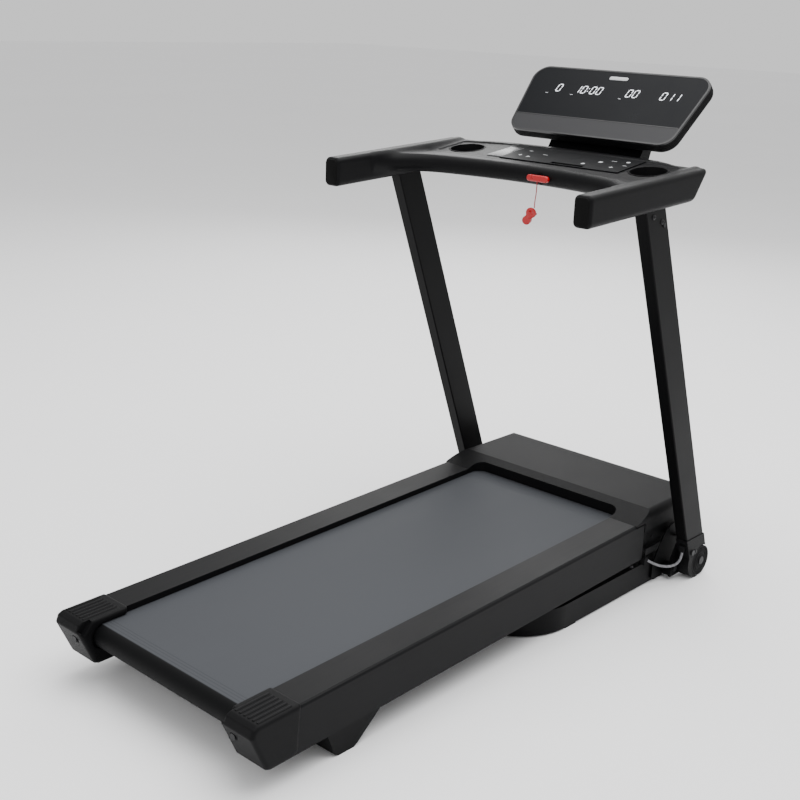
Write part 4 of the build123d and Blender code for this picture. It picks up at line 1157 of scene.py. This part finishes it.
def make_hinge_skirts():
    """Thin steel tongue on each hinge plate that closes the gap under the hood's side."""
    outline = [(-60, -8), (-4, -8), (8, 7), (8, 9), (-60, 9)]
    turn = Matrix.Rotation(pi / 2, 4, "Z") @ Matrix.Rotation(pi / 2, 4, "X")
    for side, name in SIDES:
        tongue = prism(outline, -1.1, 1.1, 0.4)
        seat = Matrix.Translation(on_machine(side * SKIRT_X, SKIRT_Y, SKIRT_Z))
        tongue.transform(seat @ turn @ Matrix.Scale(MM, 4))
        new_object(f"{name}_hinge_skirt", outward(tongue), "base", "frame_paint",
                   40)


def make_stage():
    """Pale floor, an even white sky and three soft boxes."""
    pale = Finish("studio_floor", Specular_IOR_Level=0.2)
    cloud = pale.noise(0.6, 3.0)
    pale.into("Base Color", pale.blend(cloud, (0.91, 0.91, 0.915), (0.95, 0.95, 0.955)))
    pale.into("Roughness", cloud * 0.1 + 0.8)
    reach = 30
    corners = [(-reach, -reach, 0), (reach, -reach, 0), (reach, reach, 0), (-reach, reach, 0)]
    mesh = mesh_of("studio_floor", corners, [(0, 1, 2, 3)])
    floor = linked("studio_floor", mesh)
    mesh.materials.append(pale.material)
    world = bpy.data.worlds.new("studio_sky")
    world.use_nodes = True
    sky = world.node_tree.nodes["Background"]
    sky.inputs[0].default_value = (1.0, 1.0, 1.0, 1.0)
    sky.inputs[1].default_value = settings().sky
    bpy.context.scene.world = world
    soft_box("overhead_box", (0.6, 0.6, 4.2), (0.2, 0, 0.4), (5.0, 5.0), settings().overhead)
    soft_box("back_box", (-2.6, 3.4, 2.6), (0, 0, 0.5), (2.4, 2.0), settings().back_light)
    soft_box("front_box", (0.2, -4.0, 2.6), (0, 0, 0.4), (2.4, 2.0), settings().front_light)


# ---------------------------------------------------------------- add-on

class TreadmillFinish(bpy.types.PropertyGroup):
    """Colours and grains of the treadmill's surfaces."""
    frame_colour: FloatVectorProperty(
        name="Frame", description="Powder coat of the steel frame", subtype="COLOR",
        size=3, default=(0.0022, 0.0022, 0.0025), min=0, max=1)
    rail_colour: FloatVectorProperty(
        name="Rails", description="Paint of the side rails", subtype="COLOR",
        size=3, default=(0.0034, 0.0034, 0.0039), min=0, max=1)
    moulding_colour: FloatVectorProperty(
        name="Mouldings", description="Grained plastic covers", subtype="COLOR",
        size=3, default=(0.0036, 0.0036, 0.0040), min=0, max=1)
    console_colour: FloatVectorProperty(
        name="Console", description="Handles and console moulding", subtype="COLOR",
        size=3, default=(0.0040, 0.0040, 0.0044), min=0, max=1)
    belt_colour: FloatVectorProperty(
        name="Belt", description="Walking belt", subtype="COLOR",
        size=3, default=(0.050, 0.053, 0.059), min=0, max=1)
    belt_grain: FloatProperty(
        name="Belt grain", description="Pitch of the belt's diamond grain, in mm",
        default=2.4, min=0.5, max=10)
    console_step: FloatProperty(
        name="Console mesh", description="Spacing of the console's mesh, in mm",
        default=3.2, min=1.5, max=12)


class TreadmillStage(bpy.types.PropertyGroup):
    """Camera and lights."""
    azimuth: FloatProperty(name="Azimuth", description="Camera's turn round the machine",
                           subtype="ANGLE", default=radians(42.03))
    elevation: FloatProperty(name="Elevation", description="Camera's dip", subtype="ANGLE",
                             default=radians(17.47))
    roll: FloatProperty(name="Roll", description="Camera's tilt off level", subtype="ANGLE",
                        default=radians(2.217))
    lens: FloatProperty(name="Lens", description="Focal length, in mm", default=56.41,
                        min=10, max=300)
    eye: FloatVectorProperty(name="Camera place", description="Where the camera stands",
                             subtype="TRANSLATION", unit="LENGTH", size=3,
                             default=(1.7019, -1.9656, 1.3206))
    sky: FloatProperty(name="Sky", description="Strength of the even room light", default=0.9,
                       min=0)
    overhead: FloatProperty(name="Overhead", description="Power of the overhead box", unit="POWER",
                            default=300.0, min=0)
    back_light: FloatProperty(name="Back", description="Power of the box behind the console",
                              unit="POWER", default=60.0, min=0)
    front_light: FloatProperty(name="Front", description="Power of the box behind the deck",
                               unit="POWER", default=25.0, min=0)


class TreadmillSettings(bpy.types.PropertyGroup):
    """Everything a user of the treadmill may change."""
    finish: PointerProperty(type=TreadmillFinish)
    stage: PointerProperty(type=TreadmillStage)


class Choices:
    """Reads both groups of settings as one."""

    def __getattr__(self, name):
        both = bpy.context.scene.treadmill
        return getattr(both.finish if hasattr(both.finish, name) else both.stage, name)


def settings():
    return Choices()


class TREADMILL_OT_camera(bpy.types.Operator):
    """Places the long lens behind the runner's right shoulder."""
    bl_idname = "treadmill.camera"
    bl_label = "Camera"
    bl_options = {"REGISTER", "UNDO"}

    def execute(self, context):
        make_camera()
        return {"FINISHED"}


class TREADMILL_OT_finishes(bpy.types.Operator):
    """Builds every surface finish and dresses the solid parts of the frame."""
    bl_idname = "treadmill.finishes"
    bl_label = "Frame finishes"
    bl_options = {"REGISTER", "UNDO"}

    def execute(self, context):
        make_finishes()
        dress_frame()
        return {"FINISHED"}


class TREADMILL_OT_cords(bpy.types.Operator):
    """Signal cable beside the deck, and the safety key's limp cord with its garment clip."""
    bl_idname = "treadmill.cords"
    bl_label = "Cords"
    bl_options = {"REGISTER", "UNDO"}

    def execute(self, context):
        make_signal_cable()
        make_clip()
        make_safety_cord()
        return {"FINISHED"}


class TREADMILL_OT_console(bpy.types.Operator):
    """Handles, cross bar, tray and cup wells as one smooth moulding."""
    bl_idname = "treadmill.console"
    bl_label = "Console moulding"
    bl_options = {"REGISTER", "UNDO"}

    def execute(self, context):
        make_console()
        make_handle_ends()
        return {"FINISHED"}


class TREADMILL_OT_display(bpy.types.Operator):
    """Side ridges, lit figures, blank badge and divider line of the display."""
    bl_idname = "treadmill.display"
    bl_label = "Display"
    bl_options = {"REGISTER", "UNDO"}

    def execute(self, context):
        make_display_edge()
        make_figures()
        return {"FINISHED"}


class TREADMILL_OT_keys(bpy.types.Operator):
    """Printed marks of the touch panel and the patch beside it, pale grey as a painted reflection.
    """
    bl_idname = "treadmill.keys"
    bl_label = "Touch keys"
    bl_options = {"REGISTER", "UNDO"}

    def execute(self, context):
        make_key_marks()
        return {"FINISHED"}


class TREADMILL_OT_ribs(bpy.types.Operator):
    """Rear caps with their grip ribs, and the rings of the transport wheels."""
    bl_idname = "treadmill.ribs"
    bl_label = "Ribs and rings"
    bl_options = {"REGISTER", "UNDO"}

    def execute(self, context):
        make_caps()
        make_cap_ribs()
        make_wheel_ribs()
        return {"FINISHED"}


class TREADMILL_OT_hinges(bpy.types.Operator):
    """Tongues of the hinge plates under the hood's sides."""
    bl_idname = "treadmill.hinges"
    bl_label = "Hinge skirts"
    bl_options = {"REGISTER", "UNDO"}

    def execute(self, context):
        make_hinge_skirts()
        return {"FINISHED"}


class TREADMILL_OT_screws(bpy.types.Operator):
    """Domed screw heads of the frame, console and hood."""
    bl_idname = "treadmill.screws"
    bl_label = "Screws"
    bl_options = {"REGISTER", "UNDO"}

    def execute(self, context):
        make_screws()
        return {"FINISHED"}


class TREADMILL_OT_studio(bpy.types.Operator):
    """Pale floor, even room light and soft boxes."""
    bl_idname = "treadmill.studio"
    bl_label = "Studio"
    bl_options = {"REGISTER", "UNDO"}

    def execute(self, context):
        make_stage()
        return {"FINISHED"}


STEPS = (
    TREADMILL_OT_camera,
    TREADMILL_OT_finishes,
    TREADMILL_OT_cords,
    TREADMILL_OT_console,
    TREADMILL_OT_display,
    TREADMILL_OT_keys,
    TREADMILL_OT_ribs,
    TREADMILL_OT_hinges,
    TREADMILL_OT_screws,
    TREADMILL_OT_studio,
)


class TREADMILL_PT_panel(bpy.types.Panel):
    """Lists the treadmill's settings and its making, in order."""
    bl_label = "Treadmill"
    bl_space_type = "VIEW_3D"
    bl_region_type = "UI"
    bl_category = "Treadmill"

    def draw(self, context):
        chosen = context.scene.treadmill
        for group in (chosen.finish, chosen.stage):
            box = self.layout.box()
            for name in group.__annotations__:
                box.prop(group, name)
        for step in STEPS:
            self.layout.operator(step.bl_idname)


CLASSES = (TreadmillFinish, TreadmillStage, TreadmillSettings, *STEPS, TREADMILL_PT_panel)


def register():
    for each in CLASSES:
        bpy.utils.register_class(each)
    bpy.types.Scene.treadmill = PointerProperty(type=TreadmillSettings)


def unregister():
    del bpy.types.Scene.treadmill
    for each in reversed(CLASSES):
        bpy.utils.unregister_class(each)


def main():
    register()
    for step in STEPS:
        family, name = step.bl_idname.split(".")
        getattr(getattr(bpy.ops, family), name)()


if __name__ == "__main__":
    main()
